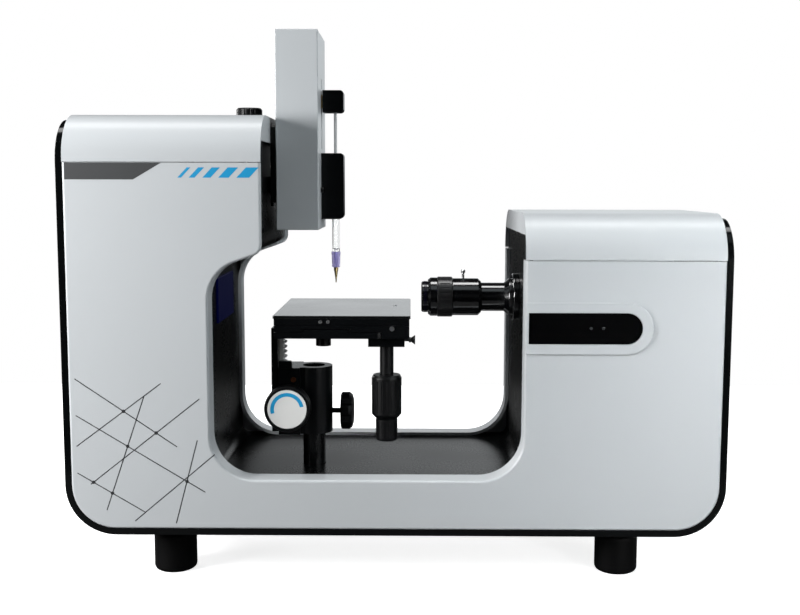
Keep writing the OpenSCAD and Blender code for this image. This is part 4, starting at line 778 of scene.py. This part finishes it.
def makeStrokes(spec):
    strips = []
    lean = spec["strokeLean"] / 2
    for index, (left, width) in enumerate(spec["strokes"]):
        strips.append(flatStrip("frontStroke%d" % index, [
            (left - lean, spec["strokeLow"]), (left - lean + width, spec["strokeLow"]),
            (left + lean + width, spec["strokeHigh"]), (left + lean, spec["strokeHigh"]),
        ]))
    hand(joinPieces("frontStrokes", strips), "inkBlue", bodyOf["front_cover"])


def crossing(one, two, endShare):
    # where two lines of the pattern meet, or nothing
    (ax, az), (bx, bz) = one
    (cx, cz), (dx, dz) = two
    turn = (bx - ax) * (dz - cz) - (bz - az) * (dx - cx)
    if math.isclose(turn, 0, abs_tol=1e-9):
        return None
    along = ((cx - ax) * (dz - cz) - (cz - az) * (dx - cx)) / turn
    across = ((cx - ax) * (bz - az) - (cz - az) * (bx - ax)) / turn
    if all(endShare < share < 1 - endShare for share in (along, across)):
        return ax + along * (bx - ax), az + along * (bz - az)
    return None


def makePattern(spec):
    strips = []
    lines = spec["lines"]
    for index, ((ax, az), (bx, bz)) in enumerate(lines):
        side = Vector((bz - az, ax - bx)).normalized() * spec["lineWidth"] / 2
        strips.append(flatStrip("patternLine%d" % index, [
            (ax + side.x, az + side.y), (bx + side.x, bz + side.y),
            (bx - side.x, bz - side.y), (ax - side.x, az - side.y),
        ]))
    meets = [crossing(one, two, spec["endShare"]) for index, one in enumerate(lines) for two in lines[:index]]
    meets = [meet for meet in meets if meet][::spec["dotEvery"]]
    for index, (x, z) in enumerate(meets):
        dot = addDisc("patternDot%d" % index, spec["dotSides"], spec["dotRadius"],
                      (x, frontY - spec["dotLift"], z))
        thicken(dot, spec["proud"], 1.0)
        strips.append(dot)
    pattern = joinPieces("frontPattern", strips)
    bpy.ops.object.mode_set(mode="EDIT")
    leaveOutward()
    hand(pattern, "inkLine", bodyOf["front_cover"])


makeBand(printSpec)
makeStrokes(printSpec)
makePattern(printSpec)
print("front cover printed")


# small fasteners

screwSpec = {
    "sides": 40,
    "socket": 0.55, "depth": 0.6,           # hexagon across corners and depth, as shares of the head
    "edge": 0.14, "edgeSteps": 2,           # share of the height
    "topShare": 0.98, "rimShare": 0.45,     # of the height and the width, where the edge is looked for
    "crossX": (-0.0691, -0.0622), "crossZ": 0.2388,     # on the stage's tables and top plate
    "longX": -0.0033, "longZ": 0.2326,
    "topX": -0.0017, "topY": 0.0106,
    "clampPlace": (-0.0974, -0.05, 0.1799),
    "headY": -0.0158, "headZ": 0.3593,
    "flangeTurns": (4, 64, 184, 244, 304),              # degrees from the front, upwards
    "flangeBack": 0.0032, "flangeSink": 0.0003,
    "tallX": (-0.27, -0.19), "tallZ": (0.075, 0.225, 0.36),     # on the rear: tall tower, low tower, sill
    "lowX": (0.165, 0.275), "lowZ": (0.215, 0.285),
    "sillX": (-0.06, 0.06), "sillZ": 0.068,
    "cornerInset": 0.0045,                              # of the connector plate's screws
}


def makeScrew(name, width, height, spec):
    # socket head, its foot at the origin and its top along +Z
    def atTop(point):
        return point.z > height * spec["topShare"] and point.xy.length > width * spec["rimShare"]

    bpy.ops.mesh.primitive_cylinder_add(vertices=spec["sides"], radius=width / 2, depth=height,
                                        location=(0, 0, height / 2))
    head = bpy.context.object
    head.name = name
    settle(head)
    bpy.ops.mesh.primitive_cylinder_add(vertices=6, radius=width * spec["socket"] / 2, depth=height,
                                        location=(0, 0, height * (1.5 - spec["depth"])))
    cutter = bpy.context.object
    settle(cutter)
    cut = head.modifiers.new("socket", "BOOLEAN")
    cut.operation = "DIFFERENCE"
    cut.solver = "EXACT"
    cut.object = cutter
    pick(head)
    bpy.ops.object.modifier_apply(modifier=cut.name)
    dropMaster(cutter)
    roundEdges(head, height * spec["edge"], spec["edgeSteps"], atTop)
    evenShading(head)
    return head


def addScrews(title, size, finish, node, places):
    # places: (point, direction the head faces)
    master = makeScrew("master" + title, *size, screwSpec)
    for index, (place, facing) in enumerate(places):
        screw = addCopy(master, "%s%d" % (title, index), place, facing)
        hand(screw, finish, bodyOf[node])
    dropMaster(master)


def flangePlaces(spec):
    low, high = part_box("lens_mount")
    centre = Vector((high.x - spec["flangeBack"], (low.y + high.y) / 2, (low.z + high.z) / 2))
    reach = (high.z - low.z) / 2 - spec["flangeSink"]
    for turn in spec["flangeTurns"]:
        facing = Vector((0, -math.cos(math.radians(turn)), math.sin(math.radians(turn))))
        yield centre + facing * reach, facing


def rearPlaces(spec):
    places = [(x, z) for x in spec["tallX"] for z in spec["tallZ"]]
    places += [(x, z) for x in spec["lowX"] for z in spec["lowZ"]]
    places += [(x, spec["sillZ"]) for x in spec["sillX"]]
    return [((x, rearY, z), toRear) for x, z in places]


def cornerPlaces(spec):
    low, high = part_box("connector_plate")
    inset = spec["cornerInset"]
    return [((x, high.y, z), toRear) for x in (low.x + inset, high.x - inset)
            for z in (low.z + inset, high.z - inset)]


toFront, toRear, toRight, upward = (0, -1, 0), (0, 1, 0), (1, 0, 0), (0, 0, 1)
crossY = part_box("x_table")[0].y
longPlace = (screwSpec["longX"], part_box("y_table")[0].y, screwSpec["longZ"])
topPlace = (screwSpec["topX"], screwSpec["topY"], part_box("stage_plate")[1].z)
headPlace = (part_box("head_shell")[1].x, screwSpec["headY"], screwSpec["headZ"])

# width and height of the head, finish, node and places of each set
screwSets = {
    "crossTableScrew": ((0.0034, 0.0009), "brushedSteel", "x_table",
                        [((x, crossY, screwSpec["crossZ"]), toFront) for x in screwSpec["crossX"]]),
    "longTableScrew": ((0.0046, 0.0011), "brushedSteel", "y_table", [(longPlace, toFront)]),
    "stageTopScrew": ((0.0042, 0.0003), "brushedSteel", "stage_plate", [(topPlace, upward)]),
    "clampScrew": ((0.0052, 0.0009), "brass", "clamp_body", [(screwSpec["clampPlace"], toFront)]),
    "headSideScrew": ((0.0052, 0.0024), "blackSteel", "head_shell", [(headPlace, toRight)]),
    "flangeScrew": ((0.0036, 0.0007), "brushedSteel", "lens_mount", flangePlaces(screwSpec)),
    "rearScrew": ((0.0062, 0.0016), "blackSteel", "rear_cover", rearPlaces(screwSpec)),
    "connectorScrew": ((0.0044, 0.0012), "blackSteel", "connector_plate", cornerPlaces(screwSpec)),
}
for title, values in screwSets.items():
    addScrews(title, *values)
print("fasteners placed")


# indicator lamps in the dark panel

lampSpec = {
    "radius": 0.0014, "sides": 28, "places": [(0.1745, 0.2375), (0.1855, 0.2375)],
    "gap": 0.00001, "high": 0.0004,
    "lip": 0.0005, "dip": 0.0002,           # dished face inside a lip
}


def makeLamp(spec, name, x, z):
    lamp = addDisc(name, spec["sides"], spec["radius"], (x, slotLow.y - spec["gap"], z))
    selectPart(lamp, "FACE", lambda face: True)
    bpy.ops.mesh.extrude_region_move(TRANSFORM_OT_translate={"value": (0, -spec["high"], 0)})
    bpy.ops.mesh.inset(thickness=spec["lip"], depth=spec["dip"])
    leaveEdit()
    evenShading(lamp)
    hand(lamp, "dimLamp", bodyOf["window_panel"])


for index, place in enumerate(lampSpec["places"]):
    makeLamp(lampSpec, "panelLamp%d" % index, *place)
print("lamps placed")


# floor, light and camera

floorSpec = {
    "left": -3.2, "right": 3.2, "front": -0.5, "rear": 0.9,
    "glow": 0.8, "sideGlow": 1.0,           # as the camera sees it
    "dull": 0.06, "pale": 0.8,              # as the part sees it
    "dullRough": 0.9,
    "sideFrom": 0.45, "sideTo": 0.9,        # from the middle to the sides
    "paper": dict(shade=(0.93, 0.93, 0.93), rough=0.85, spread=0.015, roughSpread=0.05, bump=0.02,
                  depth=0.0002, Grain=300, Cloud=3, Emission_Color=(1, 1, 1, 1)),
}


def straightRays(tree, x, y):
    # rays from the camera, and those that go on through glass
    path = addNode(tree, "ShaderNodeLightPath", x, y)
    either = addNode(tree, "ShaderNodeMath", x + 180, y, operation="MAXIMUM")
    tree.links.new(path.outputs["Is Camera Ray"], either.inputs[0])
    tree.links.new(path.outputs["Is Transmission Ray"], either.inputs[1])
    return either.outputs[0]


def setRange(node, low, high, start, end):
    for label, value in (("From Min", low), ("From Max", high), ("To Min", start), ("To Max", end)):
        node.inputs[label].default_value = value


def makeFloor(spec):
    bpy.ops.mesh.primitive_plane_add(size=1, location=((spec["left"] + spec["right"]) / 2,
                                                       (spec["front"] + spec["rear"]) / 2, 0))
    floor = bpy.context.object
    floor.name = "floor"
    floor.scale = (spec["right"] - spec["left"], spec["rear"] - spec["front"], 1)
    settle(floor)
    floor.data.materials.append(floorFinish(spec))


def floorFinish(spec):
    # white to the camera and through glass, where it keeps a soft shadow
    # to the part that stands on it, dull near the middle and pale at the sides
    made = newFinish("floorPaper", **spec["paper"])
    tree = made.node_tree
    white = tree.nodes["Principled BSDF"]
    dull = addNode(tree, "ShaderNodeBsdfPrincipled", 0, -500)
    dull.inputs["Roughness"].default_value = spec["dullRough"]
    coords = addNode(tree, "ShaderNodeTexCoord", -800, -500)
    axes = addNode(tree, "ShaderNodeSeparateXYZ", -620, -500)
    aside = addNode(tree, "ShaderNodeMath", -440, -500, operation="ABSOLUTE")
    tree.links.new(coords.outputs["Object"], axes.inputs[0])
    tree.links.new(axes.outputs["X"], aside.inputs[0])
    for inner, outer, socket in (("dull", "pale", dull.inputs["Base Color"]),
                                 ("glow", "sideGlow", white.inputs["Emission Strength"])):
        shade = addNode(tree, "ShaderNodeMapRange", -260, -500, interpolation_type="SMOOTHSTEP")
        setRange(shade, spec["sideFrom"], spec["sideTo"], spec[inner], spec[outer])
        tree.links.new(aside.outputs[0], shade.inputs["Value"])
        tree.links.new(shade.outputs[0], socket)
    mix = addNode(tree, "ShaderNodeMixShader", 350, 100)
    out = tree.nodes["Material Output"]
    tree.links.new(straightRays(tree, 0, 500), mix.inputs[0])
    tree.links.new(dull.outputs[0], mix.inputs[1])
    tree.links.new(white.outputs[0], mix.inputs[2])
    tree.links.new(mix.outputs[0], out.inputs["Surface"])
    return made


# soft boxes; spread in degrees, narrow where a grid keeps the light to one tower
lightSpec = {
    "key": {"place": (-1.05, -0.6, 0.49), "aim": (0, 0, 0.25), "size": (0.42, 0.42), "spread": 180,
            "power": 18, "colour": (1, 1, 1)},
    "right": {"place": (0.75, -0.6, 0.6), "aim": (0, 0, 0.25), "size": (0.4, 0.4), "spread": 180,
              "power": 4, "colour": (0.9, 0.97, 1)},
    "panel": {"place": (0.85, -1.15, 0.3), "aim": (0.33, -0.1, 0.16), "size": (0.3, 0.3), "spread": 34,
              "power": 0.36, "colour": (1, 1, 1)},
    "top": {"place": (0, 0.15, 2.4), "aim": (0, 0.05, 0.25), "size": (2.6, 0.6), "spread": 180,
            "power": 34, "colour": (1, 1, 1)},
    "rear": {"place": (-1.3, 1.2, 0.55), "aim": (0, 0.1, 0.22), "size": (0.6, 0.6), "spread": 180,
             "power": 12, "colour": (1, 1, 1)},
    "fill": {"place": (0.3, -1.35, 2.7), "aim": (0, 0, 0.25), "size": (2.6, 1.2), "spread": 180,
             "power": 5, "colour": (0.86, 0.96, 1)},
}


def makeLights(spec):
    for name, values in spec.items():
        data = bpy.data.lights.new(name, "AREA")
        data.shape = "RECTANGLE"
        data.size, data.size_y = values["size"]
        data.spread = math.radians(values["spread"])
        data.energy = values["power"]
        data.color = values["colour"]
        lamp = bpy.data.objects.new(name, data)
        scene.collection.objects.link(lamp)
        lamp.location = values["place"]
        lamp.rotation_euler = (Vector(values["aim"]) - lamp.location).to_track_quat("-Z", "Y").to_euler()


worldSpec = {
    "colour": (0.94, 0.98, 1.0),
    # direction, from and to along it, and the level at each end; the parts multiply
    "parts": [
        ((0, 1, 0), -0.25, 0.25, 0.03, 1.0),        # dark in front, white behind the object
        ((0, 0, 1), 0.36, 0.6, 1.0, 0.08),          # dark above the white wall
        ((1, 0, -1.5), -0.52, -0.37, 0.15, 1.0),    # dimmer at the upper left
        ((0, 0, 1), -0.02, 0.04, 0.004, 1.0),       # dark below the horizon
    ],
}


def makeWorld(spec):
    world = bpy.data.worlds.new("studio")
    scene.world = world
    world.use_nodes = True
    tree = world.node_tree
    tree.nodes.clear()
    links = tree.links
    coords = addNode(tree, "ShaderNodeTexCoord", -800, 0)
    level = None
    for index, (axis, low, high, start, end) in enumerate(spec["parts"]):
        along = addNode(tree, "ShaderNodeVectorMath", -620, -250 * index, operation="DOT_PRODUCT")
        links.new(coords.outputs["Generated"], along.inputs[0])
        along.inputs[1].default_value = axis
        part = addNode(tree, "ShaderNodeMapRange", -440, -250 * index, interpolation_type="SMOOTHSTEP")
        links.new(along.outputs["Value"], part.inputs["Value"])
        setRange(part, low, high, start, end)
        if level is None:
            level = part.outputs[0]
            continue
        product = addNode(tree, "ShaderNodeMath", 150 * index - 440, 100 - 250 * index, operation="MULTIPLY")
        links.new(level, product.inputs[0])
        links.new(part.outputs[0], product.inputs[1])
        level = product.outputs[0]
    around = addNode(tree, "ShaderNodeBackground", 200, -80)
    around.inputs["Color"].default_value = (*spec["colour"], 1)
    links.new(level, around.inputs["Strength"])
    seen = addNode(tree, "ShaderNodeBackground", 200, 80)
    seen.inputs["Color"].default_value = (1, 1, 1, 1)
    mix = addNode(tree, "ShaderNodeMixShader", 400, 0)
    links.new(straightRays(tree, 0, 350), mix.inputs[0])
    links.new(around.outputs[0], mix.inputs[1])
    links.new(seen.outputs[0], mix.inputs[2])
    out = addNode(tree, "ShaderNodeOutputWorld", 600, 0)
    links.new(mix.outputs[0], out.inputs["Surface"])


cameraSpec = {
    "place": (0.012909, -1.078649, 0.363911),
    "yaw": -0.5047, "pitch": 6.360, "roll": -0.10626,     # degrees, the pitch downwards
    "lens": 49.361, "sensor": 36.0,
    "clip": (0.05, 50),
}


def makeCamera(spec):
    data = bpy.data.cameras.new("photoCamera")
    data.lens = spec["lens"]
    data.sensor_width = spec["sensor"]
    data.sensor_fit = "HORIZONTAL"
    data.clip_start, data.clip_end = spec["clip"]
    camera = bpy.data.objects.new("photoCamera", data)
    scene.collection.objects.link(camera)
    yaw, pitch, roll = (math.radians(spec[key]) for key in ("yaw", "pitch", "roll"))
    ahead = Vector((math.sin(yaw) * math.cos(pitch), math.cos(yaw) * math.cos(pitch), -math.sin(pitch)))
    right = Vector((math.cos(yaw), -math.sin(yaw), 0))
    down = ahead.cross(right)
    side = math.cos(roll) * right + math.sin(roll) * down
    under = -math.sin(roll) * right + math.cos(roll) * down
    turn = Matrix((side, -under, -ahead)).transposed().to_4x4()
    camera.matrix_world = Matrix.Translation(Vector(spec["place"])) @ turn
    scene.camera = camera


makeFloor(floorSpec)
makeLights(lightSpec)
makeWorld(worldSpec)
makeCamera(cameraSpec)
print("floor, light and camera set")
